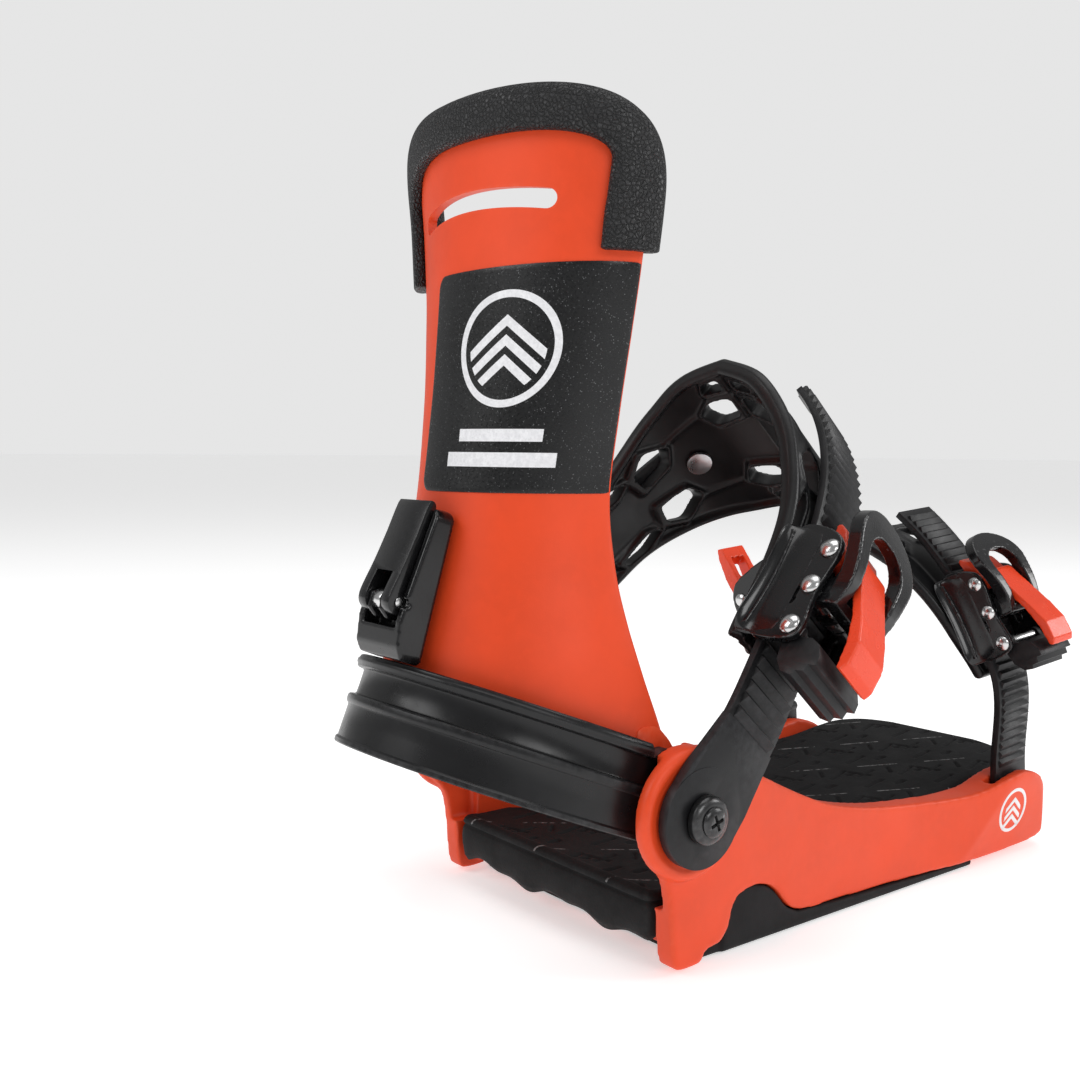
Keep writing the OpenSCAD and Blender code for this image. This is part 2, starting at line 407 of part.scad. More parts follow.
// sawtooth outer line: rises slowly, then drops
function teeth(P, o, h) = [for (i = [0 : len(P) - 1]) P[i] + (o + h * ((i % 3) / 2)) * path_n(P, i)];
module strip(P, o0, o1, w) { translate([0, 0, -w]) linear_extrude(2 * w) polygon(concat(ladder_line(P, o1), rev(ladder_line(P, o0)))); }
aP = concat([for (i = [0 : 6]) a_path(i / 6)], [for (i = [1 : 14]) a_path(1 + i / 14)], [for (i = [1 : 40]) a_path(2 + i / 40)]);
aPt = concat([for (i = [0 : 26]) a_path(1.08 + 0.92 * i / 27)], [for (i = [0 : 71]) a_path(2 + 0.96 * i / 71)]);
module ankle_ladder() {
  color(black) ankle_f() difference() {
    union() {
      strip(aP, -1.5, 0.9, ankle_lw);
      translate([0, 0, -(ankle_lw - 2.2)]) linear_extrude(2 * ankle_lw - 4.4) polygon(concat(teeth(aPt, 0.6, 2.4), rev(ladder_line(aPt, 0))));
      // round, wider root
      translate([66.4, 0, 0]) rotate([0, 90, 0]) cylinder(h = 3.4, r = 15.5, $fn = 96);
      translate([66.4, 0, 0]) rotate([90, 0, 90]) linear_extrude(3.2) polygon([[0, -15.5], [10, -15.3], [30, -ankle_lw], [30, ankle_lw], [10, 15.3], [0, 15.5]]);
    }
    translate([60, 0, 0]) rotate([0, 90, 0]) cylinder(h = 20, r = 5.06, $fn = 64);
    // clipped tip corners
    translate(concat(a_arc(57), 0)) rotate(57) for (s = [-1, 1]) translate([-6, 0, s * ankle_lw]) rotate([s * 40, 0, 0]) translate([0, -6, -6]) cube([12, 12, 12]) ;
  }
}
m_path = [for (p = aP) [-p[0], p[1]]];
lowP = concat([for (i = [0 : 6]) [-68.2, 26 * i / 6]], [for (i = [1 : 10]) herm([-68.2, 26], [0, 44], aF + [0.2, -2.2], [2, 44], i / 10)]);
module ankle_strap_lower() {
  color(black) ankle_f() difference() {
    union() {
      strip(lowP, -1.4, 1.4, 11.5);
      translate(concat(aF, -11.5)) cylinder(h = 23, r = 2.4, $fn = 48);
      translate([-69.8, 0, 0]) rotate([0, 90, 0]) cylinder(h = 3.4, r = 15.5, $fn = 96);
      translate([-69.8, 0, 0]) rotate([90, 0, 90]) linear_extrude(3.2) polygon([[0, -15.5], [10, -15.3], [34, -11.5], [34, 11.5], [10, 15.3], [0, 15.5]]);
    }
    translate([-80, 0, 0]) rotate([0, 90, 0]) cylinder(h = 20, r = 5.06, $fn = 64);
  }
}
// half profile of the ankle pad's middle line, outer side
padA = [[55.3, 43], [54.4, 54], [54.2, 66], [54.6, 74], [53.6, 90], [50.2, 106.4], [43.8, 123], [34.5, 138.5], [19, 151.6], [0, 157.4]];
padAl = smooth(padA, 5);
padAf = concat(padAl, rev([for (i = [0 : len(padAl) - 2]) [-padAl[i][0], padAl[i][1]]]));
upP = smooth([[-60.3, 75.8], [-59.6, 82], [-57.2, 90.5], [-53.6, 107.5], [-47, 124.8], [-37.2, 141.2], [-27.4, 150.5]], 5);
module ankle_strap_upper() {
  color(black) ankle_f() difference() {
    union() {
      strip(upP, -1.5, 0.6, 10);
      // open collar that turns on the lower strap's round end
      translate([0, 0, -10]) linear_extrude(20) difference() {
        translate(aF) intersection() { circle(5, $fn = 48); polygon([[0, 0], 9 * [cos(97), sin(97)], 9 * [cos(125), sin(125)], 9 * [cos(152), sin(152)]]); }
        translate(aF) circle(2.75, $fn = 48);
      }
    }
    nut_axis() translate([0, 0, -10]) cylinder(h = 20, r = 2.7, $fn = 32);
  }
}
module nut_axis() { translate([-32.4, 145.9, 0]) rotate([0, 90, -47.2]) children(); }
wA = smooth([[40, 11.5], [50, 13], [64, 15.5], [90, 18], [108, 20], [124, 24.5], [140, 31], [150, 36.5], [162, 41]], 4);
module ankle_pad() {
  color(black) ankle_f() difference() {
    intersection() {
      translate([0, 0, -40]) linear_extrude(80) polygon(concat(ladder_line(padAf, -ankle_pad_t / 2), rev(ladder_line(padAf, ankle_pad_t / 2))));
      rotate([90, 0, 90]) translate([0, 0, -80]) linear_extrude(160) polygon(concat([for (p = wA) [p[0], p[1]]], rev([for (p = wA) [p[0], -p[1]]])));
    }
    // the buckle side ends under the buckle
    translate([30, 20, -45]) cube([50, 37, 90]);
    // room for the lower strap and its round end
    translate([-75, 30, -45]) cube([19.2, 42, 90]);
    translate([aF[0], aF[1], -45]) cylinder(h = 90, r = 2.9, $fn = 48);
    // windows in the flanks
    rotate([90, 0, 90]) translate([0, 0, -80]) linear_extrude(160) for (s = [-1, 1]) {
      polygon([[96, s * 12], [112, s * 11], [118, s * 14], [108, s * 16], [98, s * 15]]);
      polygon([[122, s * 5], [134, s * 7], [137, s * 14], [128, s * 19], [120, s * 13]]);
    }
    // windows over the instep
    rotate([-90, 0, 0]) translate([0, 0, 120]) linear_extrude(60) for (s = [-1, 1], m = [-1, 1]) {
      polygon([[m * 3, s * 14], [m * 15, s * 12], [m * 19, s * 19], [m * 13, s * 24], [m * 3, s * 24]]);
      polygon([[m * 3, s * 28], [m * 13, s * 28], [m * 11, s * 33], [m * 3, s * 33.5]]);
    }
    nut_axis() translate([0, 0, -10]) cylinder(h = 20, r = 2.7, $fn = 32);
    buckle_at(aF, ankle_r, 2.5) buckle_screw_holes();
  }
}
module ankle_length_nut() { color(gloss) ankle_f() nut_axis() difference() { union() { intersection() { translate([-6.4, -4.6, -3.65]) cube([12.8, 9.2, 1.8]); translate([0, 0, -4]) cylinder(h = 4, r = 6.6, $fn = 64); } translate([0, 0, -1.8]) cylinder(h = 7, r = 2.6, $fn = 32); } translate([0, 0, 0.8]) cylinder(h = 9, r = 1.55, $fn = 32); } }
module ankle_length_screw() { color(chrome) ankle_f() nut_axis() { translate([0, 0, 1]) cylinder(h = 6, r = 1.5, $fn = 32); translate([0, 0, 6]) cylinder(h = 1.6, r = 5, $fn = 48); } }

// ---------- ratchet buckle, drawn about the ladder's centre line ----------
// local: x out from the foot, y along the ladder towards its tip, z across
module buckle_at(F, R, b) { translate(concat(F, 0)) rotate(b) translate([R, 0, 0]) children(); }
module ankle_b() { ankle_f() buckle_at(aF, ankle_r, 2.5) children(); }
module toe_b() { toe_f() buckle_at(tF, toe_r, 27.6) scale(toe_k) children(); }
ax = [[11.5, 14.5], [11.5, 0], [11.5, -15.5]];
module buckle_screw_holes() { for (y = [-14.6, 7.4]) translate([-30, y, 0]) rotate([0, 90, 0]) cylinder(h = 30, r = 1.75, $fn = 24); }
module axis_z(p, r, w, n = 48) { translate([p[0], p[1], -w]) cylinder(h = 2 * w, r = r, $fn = n); }
cheek = smooth([[-5.6, -17], [-5.8, -6], [-5.8, 10], [-5.6, 21], [-2, 24.4], [6, 23.4], [13, 20], [15.6, 14], [15, 6], [14.4, 0], [15, -8], [16, -15], [14.4, -19.4], [8, -21], [-1, -20.4], [-5.6, -17]], 3);
module buckle_frame(R, d) {
  difference() {
    union() {
      for (s = [-1, 1]) translate([0, 0, s * 14.6 - 1.2]) linear_extrude(2.4) polygon(cheek);
      // curved base under the ladder
      translate([0, 0, -18]) linear_extrude(36) intersection() {
        translate([-14, -17.5]) square([14, 38]);
        translate([-R, 0]) difference() { circle(R - 2.4, $fn = 360); circle(R - d, $fn = 360); }
      }
    }
    for (p = ax) axis_z(p, 2.02, 20);
    translate([6.4, -4.6, -20]) rotate(0) { translate([0, -1.6, 0]) cylinder(h = 40, r = 1.6, $fn = 32); translate([-1.6, -1.6, 0]) cube([3.2, 4, 40]); translate([0, 2.4, 0]) cylinder(h = 40, r = 1.6, $fn = 32); }
    buckle_screw_holes();
  }
}
module buckle_rivets() {
  for (p = ax) {
    axis_z(p, 2, 16.2);
    for (s = [-1, 1]) translate([p[0], p[1], s * 15.9]) mirror([0, 0, s < 0 ? 1 : 0]) rotate_extrude($fn = 64) polygon([[0, 0], [3.5, 0], [3.5, 0.5], [3, 1.2], [2, 1.8], [0.9, 2.1], [0, 2.2]]);
  }
}
module buckle_screws(a, b) { for (p = [[-14.6, a], [7.4, b]]) translate([0, p[0], 0]) rotate([0, -90, 0]) { translate([0, 0, 3.6]) cylinder(h = p[1] - 3.5, r = 1.6, $fn = 24); translate([0, 0, p[1]]) cylinder(h = 1.6, r = 3.4, $fn = 32); } }
module buckle_nose() {
  difference() {
    translate([0, 0, -12.8]) linear_extrude(25.6) polygon([[9, -19.6], [13.4, -17.8], [19.4, -17.6], [23, -19.6], [25.2, -23.6], [25.4, -27], [22.6, -27], [22.2, -29.6], [19, -29.6], [18.4, -31.4], [14, -30.6], [10.4, -26.4]]);
    
  }
  // arms that reach the lowest rivet
  difference() {
    for (s = [-1, 1]) translate([0, 0, s * 11.4 - 1.4]) {
      linear_extrude(2.8) polygon([[8.3, -15.5], [9.8, -21.5], [16, -21.5], [14.7, -15.5]]);
      translate([11.5, -15.5, 0]) cylinder(h = 2.8, r = 3.2, $fn = 48);
    }
    axis_z(ax[2], 2.03, 20);
  }
}
// the big finger loop
lev_o = smooth([[21, -4], [23.2, 4], [22.9, 14], [19.8, 28], [16, 37.4]], 4);
lev_i = smooth([[11.4, 37.6], [14.6, 28], [17.4, 14], [17, 4], [15.6, -4]], 4);
lev_rim = smooth([[-4, 12.6], [4, 13.2], [14, 15.4], [22, 17.4], [28, 16.6], [33.4, 12.4], [36.6, 6], [37.4, 0]], 4);
lev_hole = smooth([[-1, 7.6], [-1, 8.7], [6, 8.8], [14, 9.6], [20, 10.4], [24, 9.2], [27, 5.6], [28, 0]], 4);
module ratchet_lever() {
  difference() {
    union() {
      for (s = [-1, 1]) translate([0, 0, s * 8.8 - 4]) translate([ax[1][0], ax[1][1], 0]) cylinder(h = 8, r = 4.2, $fn = 64);
      for (s = [-1, 1]) translate([0, 0, s * 10.8 - 2]) linear_extrude(4) polygon([[10.5, 4.1], [9, -3.4], [13, -3.9], [18, -3.6], [20, 0], [20, 12], [17.6, 12], [15.6, 5.4]]);
      intersection() {
        translate([0, 0, -20]) linear_extrude(40) polygon(concat(lev_o, lev_i));
        rotate([90, 0, 90]) linear_extrude(60) difference() {
          polygon(concat(lev_rim, rev([for (p = lev_rim) [p[0], -p[1]]])));
          polygon(concat(lev_hole, rev([for (p = lev_hole) [p[0], -p[1]]])));
        }
      }
    }
    axis_z(ax[1], 2.03, 30);
  }
}
module drive_pawl() {
  difference() {
    translate([0, 0, -4.4]) union() {
      translate([ax[1][0], ax[1][1], 0]) cylinder(h = 4.1, r = 4, $fn = 64);
      linear_extrude(4.1) polygon([[9.5, -3.4], [6.8, -2.6], [3.7, -0.9], [3.8, 0.5], [6.6, 2.2], [9.5, 3.4]]);
    }
    axis_z(ax[1], 2.03, 20);
  }
}
// long release paddle and the tail beyond its axle
module release_lever() {
  difference() {
    union() {
      for (s = [-1, 1]) translate([ax[0][0], ax[0][1], s * 8.7 - 3.9]) cylinder(h = 7.8, r = 3.8, $fn = 64);
      translate([0, 0, -8.1]) linear_extrude(16.2) polygon([[12.6, 18.4], [16.8, 19], [18.2, 17.6], [23.6, 6], [28.8, -5], [32, -13.6], [32, -22], [30.4, -24.6], [28.4, -23.8], [27.6, -14.4], [24.8, -4.4], [21.6, 2.4], [17.6, 8.2], [12.4, 10.8]]);
      translate([0, 0, -11]) linear_extrude(22) polygon([[8.8, 12], [6.6, 19.4], [4.8, 27.8], [6.2, 28.8], [9.4, 26.4], [12.6, 20], [14.4, 15.4]]);
    }
    axis_z(ax[0], 2.03, 20);
    translate([0, 0, -4.6]) linear_extrude(9.2) polygon([[2, 8], [15.6, 8], [16.4, 14.4], [12.6, 19.4], [2, 19.4]]);
  }
}
module holding_pawl() {
  difference() {
    translate([0, 0, 0.3]) union() {
      translate([ax[0][0], ax[0][1], 0]) cylinder(h = 4.1, r = 3.7, $fn = 64);
      linear_extrude(4.1) polygon([[8.2, 16], [6.6, 10], [3.7, 6.7], [4, 5.8], [8, 7.2], [14, 11.8]]);
    }
    axis_z(ax[0], 2.03, 20);
  }
}

// ---------- toe strap ----------
tP = concat([for (i = [0 : 4]) t_path(i / 4)], [for (i = [1 : 10]) t_path(1 + i / 10)], [for (i = [1 : 36]) t_path(2 + i / 36)]);
tPt = concat([for (i = [0 : 32]) t_path(1.02 + 0.98 * i / 33)], [for (i = [0 : 66]) t_path(2 + 0.96 * i / 66)]);
toe_lw = 10.4;
module toe_ladder() {
  color(black) toe_f() difference() {
    union() {
      strip(tP, -1.4, 1.2, toe_lw);
      translate([0, 0, -(toe_lw - 2)]) linear_extrude(2 * toe_lw - 4) polygon(concat(teeth(tPt, 1.1, 1.4), rev(ladder_line(tPt, 0))));
      translate([56.6, 0, 0]) rotate([0, 90, 0]) cylinder(h = 3, r = 8, $fn = 64);
    }
    translate([50, 0, 0]) rotate([0, 90, 0]) cylinder(h = 20, r = 2.65, $fn = 48);
  }
}
module toe_pivot_screws() {
  color(chrome) both() difference() {
    union() {
      x_cyl(50.2, 62.2, 2.58, toe_py, toe_pz, 48);
      x_cyl(48.2, 50, 4.6, toe_py, toe_pz, 48);
    }
    x_cyl(47, 50, 2, toe_py, toe_pz, 6);
  }
}
module toe_strap_root() {
  color(black) toe_f() difference() {
    union() {
      translate([-59.7, 0, 0]) rotate([0, 90, 0]) cylinder(h = 3, r = 8, $fn = 64);
      translate([-59.7, 0, -8]) cube([3, 16.4, 16]);
      translate(concat(tF, -8)) cylinder(h = 16, r = 2.2, $fn = 48);
    }
    translate([-70, 0, 0]) rotate([0, 90, 0]) cylinder(h = 20, r = 2.65, $fn = 48);
  }
}
cP = smooth([[-60.1, 20.2], [-60.7, 26], [-62.4, 40], [-63.2, 52], [-61.4, 64], [-57, 75], [-50, 85], [-45.4, 90.4]], 5);
module toe_strap_connector() {
  color(black) toe_f() union() {
    strip(cP, -1.2, 1.2, 8.8);
    translate([0, 0, -(8.8 - 1.8)]) linear_extrude(14) polygon(concat(teeth([for (i = [12 : 34]) cP[i]], -1.1, -1.3), rev(ladder_line([for (i = [12 : 34]) cP[i]], 0))));
    // open collar that turns on the root's round end
    translate([0, 0, -8]) linear_extrude(16) difference() {
      translate(tF) intersection() { circle(4.4, $fn = 48); polygon([[0, 0], 9 * [cos(80), sin(80)], 9 * [cos(112), sin(112)], 9 * [cos(150), sin(150)]]); }
      translate(tF) circle(2.5, $fn = 48);
    }
  }
}
padT = smooth([[52, 50], [49, 58], [44.6, 67], [39.5, 76], [32, 86], [22, 95.6], [10, 102], [0, 104]], 5);
padTf = concat(padT, rev([for (i = [0 : len(padT) - 2]) [-padT[i][0], padT[i][1]]]));
wT = smooth([[48, 9], [56, 12], [66, 15.5], [80, 19], [92, 22.5], [100, 25], [108, 26]], 4);
module toe_pad_band(o) { polygon(concat(ladder_line(padTf, -toe_pad_t / 2 - o), rev(ladder_line(padTf, toe_pad_t / 2 + o)))); }
module toe_pad() {
  color(black) toe_f() difference() {
    intersection() {
      translate([0, 0, -40]) linear_extrude(80) toe_pad_band(0);
      rotate([90, 0, 90]) translate([0, 0, -80]) linear_extrude(160) polygon(concat([for (p = wT) [p[0], p[1]]], rev([for (p = wT) [p[0], -p[1]]])));
    }
    rotate([-90, 0, 0]) translate([0, 0, 80]) linear_extrude(60) for (s = [-1, 1], m = [-1, 1]) {
      polygon([[m * 3, s * 5], [m * 15, s * 4], [m * 19, s * 10], [m * 13, s * 16], [m * 3, s * 17]]);
    }
    buckle_at(tF, toe_r, 27.6) scale(toe_k) buckle_screw_holes();
  }
}
module toe_adjuster_housing() {
  color(gloss) toe_f() difference() {
    translate([0, 0, -11]) linear_extrude(22) polygon(smooth([[-50.6, 53], [-57, 51.4], [-64, 52.6], [-69.6, 56], [-75, 63], [-77.4, 70], [-75.4, 77], [-69, 82.4], [-60, 88.6], [-50, 93.4], [-43, 94], [-37.6, 88], [-41, 80], [-45.6, 70], [-50.6, 53]], 2));
    translate([0, 0, -40]) linear_extrude(80) toe_pad_band(0.12);
    translate([0, 0, -9.2]) linear_extrude(18.4) polygon(concat(ladder_line(cP, 1.6), rev(ladder_line(cP, -2.9))));
    translate([-44, 90, -9.2]) rotate(38) cube([20, 4, 18.4]);
    // window for the clip
    translate([-90, 56, -7.6]) cube([28, 30, 15.2]);
    axis_z([-71.5, 69.5], 1.98, 20);
  }
}
module toe_adjuster_pin() { color(chrome) toe_f() { axis_z([-71.5, 69.5], 1.95, 11.2); for (s = [-1, 1]) translate([-71.5, 69.5, s * 11.1]) mirror([0, 0, s < 0 ? 1 : 0]) rotate_extrude($fn = 48) polygon([[0, 0], [3.2, 0], [3, 0.9], [1.8, 1.6], [0, 1.9]]); } }
module toe_adjuster_clip() {
  color(orange) toe_f() difference() {
    union() {
      translate([-71.5, 69.5, -7.3]) cylinder(h = 14.6, r = 3.9, $fn = 48);
      translate([0, 0, -7.3]) linear_extrude(14.6) polygon([[-71.5, 73.4], [-76, 77], [-82, 86], [-86.6, 92.4], [-89.6, 91.6], [-89, 87], [-84.6, 77], [-79, 69], [-74.4, 65.6]]);
      translate([0, 0, -3.6]) linear_extrude(7.2) polygon([[-70, 66], [-66.6, 67.6], [-66.4, 69], [-68.4, 71.6]]);
    }
    axis_z([-71.5, 69.5], 1.98, 20);
    // finger hole
    translate([0, 0, -4.2]) linear_extrude(8.4) polygon([[-78, 84], [-84.4, 88.4], [-90, 78], [-82, 72], [-77.6, 77]]);
  }
}

module ankle_buckle_frame() { color(gloss) ankle_b() buckle_frame(ankle_r, 5.3); }
module ankle_buckle_nose() { color(black) ankle_b() buckle_nose(); }
module ankle_buckle_rivets() { color(chrome) ankle_b() buckle_rivets(); }
module ankle_buckle_screws() { color(chrome) ankle_b() buckle_screws(13.2, 12.2); }
module ankle_ratchet_lever() { color(gloss) ankle_b() ratchet_lever(); }
module ankle_drive_pawl() { color(chrome) ankle_b() drive_pawl(); }
module ankle_release_lever() { color(orange) ankle_b() release_lever(); }
module ankle_holding_pawl() { color(chrome) ankle_b() holding_pawl(); }
module toe_buckle_frame() { color(gloss) toe_b() buckle_frame(toe_r / toe_k, 6); }
module toe_buckle_nose() { color(black) toe_b() buckle_nose(); }
module toe_buckle_rivets() { color(chrome) toe_b() buckle_rivets(); }
module toe_buckle_screws() { color(chrome) toe_b() buckle_screws(14.4, 14.4); }
module toe_ratchet_lever() { color(gloss) toe_b() ratchet_lever(); }
module toe_drive_pawl() { color(chrome) toe_b() drive_pawl(); }
module toe_release_lever() { color(orange) toe_b() release_lever(); }
module toe_holding_pawl() { color(chrome) toe_b() holding_pawl(); }

base_frame();
base_gasket();
mounting_disc();
heel_pad();
toe_footbed();
heel_hoop();
hoop_screws();
highback_shell();
highback_rim_pad();
highback_panel();
hub_barrel_nuts();
hub_screws();
hub_washers();
lean_block();
lean_lever();
lean_lever_pin();
lean_clamp_plate();
lean_clamp_screw();
ankle_ladder();
ankle_strap_lower();
ankle_strap_upper();
ankle_pad();
ankle_length_nut();
ankle_length_screw();
ankle_buckle_frame();
ankle_buckle_nose();
ankle_buckle_rivets();
ankle_buckle_screws();
ankle_ratchet_lever();
ankle_drive_pawl();
ankle_release_lever();
ankle_holding_pawl();
toe_ladder();
toe_strap_root();
toe_strap_connector();
toe_pad();
toe_pivot_screws();
toe_adjuster_housing();
toe_adjuster_clip();
toe_adjuster_pin();
toe_buckle_frame();
toe_buckle_nose();
toe_buckle_rivets();
toe_buckle_screws();
toe_ratchet_lever();
toe_drive_pawl();
toe_release_lever();
toe_holding_pawl();
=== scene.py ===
import json
import math
import bpy
import bmesh
import numpy as np
from mathutils import Matrix, Vector


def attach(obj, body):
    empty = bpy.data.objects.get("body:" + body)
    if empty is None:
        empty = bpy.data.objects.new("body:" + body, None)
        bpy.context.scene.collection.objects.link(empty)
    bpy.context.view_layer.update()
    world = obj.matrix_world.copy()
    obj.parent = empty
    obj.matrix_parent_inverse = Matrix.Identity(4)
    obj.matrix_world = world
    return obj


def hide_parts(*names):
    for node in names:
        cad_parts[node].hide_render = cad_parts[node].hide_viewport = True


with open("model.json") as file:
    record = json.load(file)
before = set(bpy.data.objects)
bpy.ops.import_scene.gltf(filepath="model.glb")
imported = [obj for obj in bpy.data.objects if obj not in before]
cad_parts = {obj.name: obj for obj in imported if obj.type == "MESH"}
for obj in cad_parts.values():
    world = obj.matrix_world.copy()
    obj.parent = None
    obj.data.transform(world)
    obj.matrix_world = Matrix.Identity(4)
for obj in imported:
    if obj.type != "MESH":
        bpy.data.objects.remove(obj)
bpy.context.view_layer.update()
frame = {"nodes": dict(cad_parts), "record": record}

MM = 0.001
scene = bpy.context.scene
NODES = frame["nodes"]
BODY = {n: b for b, ns in frame["record"]["behaviour"]["bodies"].items() for n in ns}

# ------------------------------------------------------------------ curves
def smooth(P, n=5):
    P = np.array(P, float)
    m = len(P)
    out = []
    for i in range(m - 1):
        a, b, c, d = P[max(i - 1, 0)], P[i], P[i + 1], P[min(i + 2, m - 1)]
        for k in range(n):
            t = k / n
            out.append(0.5 * (2 * b + (c - a) * t + (2 * a - 5 * b + 4 * c - d) * t * t + (3 * b - a - 3 * c + d) * t ** 3))
    out.append(P[-1])
    return np.array(out)


def tab(T, v):
    T = np.array(T, float)
    v = np.asarray(v, float)
    x, y = T[:, 0], T[:, 1]
    n = len(x)
    sl = np.array([(y[min(i + 1, n - 1)] - y[max(i - 1, 0)]) / (x[min(i + 1, n - 1)] - x[max(i - 1, 0)]) for i in range(n)])
    vc = np.clip(v, x[0], x[-1])
    i = np.clip(np.searchsorted(x, vc, side="right") - 1, 0, n - 2)
    h = x[i + 1] - x[i]
    t = (vc - x[i]) / h
    return (y[i] * (1 - 3 * t ** 2 + 2 * t ** 3) + y[i + 1] * (3 * t ** 2 - 2 * t ** 3)
            + (t - 2 * t ** 2 + t ** 3) * sl[i] * h + (t ** 3 - t ** 2) * sl[i + 1] * h)


def resample(P, step):
    P = np.array(P, float)
    L = np.concatenate([[0], np.cumsum(np.linalg.norm(np.diff(P, axis=0), axis=1))])
    n = max(2, int(round(L[-1] / step)) + 1)
    s = np.linspace(0, L[-1], n)
    return np.stack([np.interp(s, L, P[:, k]) for k in range(P.shape[1])], 1)


def seg_dist(q, A, B):
    """distance from points q (n,2) to segments A-B (m,2)"""
    d = B - A
    L = (d * d).sum(1) + 1e-12
    best = np.full(len(q), 1e9)
    for k in range(len(A)):
        t = np.clip(((q - A[k]) @ d[k]) / L[k], 0, 1)
        w = q - A[k] - t[:, None] * d[k]
        best = np.minimum(best, np.hypot(w[:, 0], w[:, 1]))
    return best


def poly_sdf(q, poly):
    """signed distance to a closed polygon, negative inside"""
    poly = np.array(poly, float)
    A, B = poly, np.roll(poly, -1, 0)
    d = seg_dist(q, A, B)
    inside = np.zeros(len(q), bool)
    for a, b in zip(A, B):
        c = (a[1] > q[:, 1]) != (b[1] > q[:, 1])
        xi = (b[0] - a[0]) * (q[:, 1] - a[1]) / (b[1] - a[1] + 1e-12) + a[0]
        inside ^= c & (q[:, 0] < xi)
    return np.where(inside, -d, d)


def sstep(a, b, x):
    t = np.clip((x - a) / (b - a), 0, 1)
    return t * t * (3 - 2 * t)


# ------------------------------------------------------------------ frames
def rotx(a):
    a = math.radians(a)
    return np.array([[1, 0, 0], [0, math.cos(a), -math.sin(a)], [0, math.sin(a), math.cos(a)]])


def rotz(a):
    a = math.radians(a)
    return np.array([[math.cos(a), -math.sin(a), 0], [math.sin(a), math.cos(a), 0], [0, 0, 1]])


def to_frame(V, origin, tilt):
    return np.asarray(V, float) @ rotx(tilt).T + np.array(origin, float)


def ankle_f(V):
    return to_frame(V, (0, -101, 50.5), 48)


def toe_f(V):
    return to_frame(V, (0, 84, 22), 95)


aF, aR = np.array([-57.5, 72.0]), 121.0
tF, tR, tK = np.array([-58.2, 17.0]), 122.5, 0.82


def ankle_b(V):
    V = np.asarray(V, float) + np.array([aR, 0, 0])
    V = V @ rotz(2.5).T + np.array([aF[0], aF[1], 0])
    return ankle_f(V)


def toe_b(V):
    V = np.asarray(V, float) * tK + np.array([tR, 0, 0])
    V = V @ rotz(27.6).T + np.array([tF[0], tF[1], 0])
    return toe_f(V)


# ------------------------------------------------------------------ meshes
def make(name, V, F, body, slot, replaces=(), mats=None):
    me = bpy.data.meshes.new(name)
    me.from_pydata([tuple(map(float, v)) for v in np.asarray(V, float) * MM], [], [tuple(map(int, f)) for f in F])
    me.update()
    ob = bpy.data.objects.new(name, me)
    scene.collection.objects.link(ob)
    return dress(ob, body, slot, replaces)


def dress(ob, body, slot, replaces=()):
    ob["want_slot"] = slot
    ob["want_body"] = body
    for n in replaces:
        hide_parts(n)
    return ob


def fix_normals(ob):
    bm = bmesh.new()
    bm.from_mesh(ob.data)
    bmesh.ops.recalc_face_normals(bm, faces=bm.faces)
    bm.to_mesh(ob.data)
    bm.free()


def apply_mods(ob):
    dg = bpy.context.evaluated_depsgraph_get()
    dg.update()
    me = bpy.data.meshes.new_from_object(ob.evaluated_get(dg), preserve_all_data_layers=True, depsgraph=dg)
    old = ob.data
    ob.modifiers.clear()
    ob.data = me
    bpy.data.meshes.remove(old)


def shade(ob, angle=35):
    me = ob.data
    me.polygons.foreach_set("use_smooth", [True] * len(me.polygons))
    if angle < 180:
        me.set_sharp_from_angle(angle=math.radians(angle))
    me.update()


def cad_copy(node, name, slot, merge=2e-6):
    src = NODES[node]
    me = src.data.copy()
    me.materials.clear()
    for a in [a.name for a in me.attributes if a.name.startswith("custom_normal") or a.name == "sharp_face"]:
        try:
            me.attributes.remove(me.attributes[a])
        except Exception:
            pass
    bm = bmesh.new()
    bm.from_mesh(me)
    bmesh.ops.remove_doubles(bm, verts=bm.verts, dist=merge)
    bm.to_mesh(me)
    bm.free()
    me.name = name
    ob = bpy.data.objects.new(name, me)
    scene.collection.objects.link(ob)
    return dress(ob, BODY[node], slot, [node])


def bevelled(node, name, slot, width=0.4, segments=2, angle=30, keep=None):
    ob = cad_copy(node, name, slot)
    bm = bmesh.new()
    bm.from_mesh(ob.data)
    bmesh.ops.dissolve_limit(bm, angle_limit=math.radians(1.0), verts=bm.verts, edges=bm.edges)
    bmesh.ops.dissolve_degenerate(bm, dist=1e-6, edges=bm.edges)
    bm.to_mesh(ob.data)
    bm.free()
    m = ob.modifiers.new("b", "BEVEL")
    m.width = width * MM
    m.segments = segments
    m.limit_method = "ANGLE"
    m.angle_limit = math.radians(angle)
    m.use_clamp_overlap = True
    m.miter_outer = "MITER_ARC"
    apply_mods(ob)
    shade(ob, 40)
    return ob


def relax(ob, times, factor=0.5, keep=None):
    """Laplacian smoothing in numpy; keep is a per-vertex freedom 0..1"""
    me = ob.data
    n = len(me.vertices)
    co = np.zeros(n * 3)
    me.vertices.foreach_get("co", co)
    co = co.reshape(-1, 3)
    e = np.zeros(len(me.edges) * 2, int)
    me.edges.foreach_get("vertices", e)
    e = e.reshape(-1, 2)
    deg = np.bincount(e.ravel(), minlength=n).astype(float)[:, None]
    w = np.ones((n, 1)) if keep is None else np.asarray(keep).reshape(-1, 1)
    for k in range(times):
        for mu in (factor, -factor * 1.04):
            s = np.zeros_like(co)
            for d in range(3):
                s[:, d] = np.bincount(e[:, 0], co[e[:, 1], d], n) + np.bincount(e[:, 1], co[e[:, 0], d], n)
            co = co + mu * w * (s / np.maximum(deg, 1) - co)
    me.vertices.foreach_set("co", co.ravel())
    me.update()


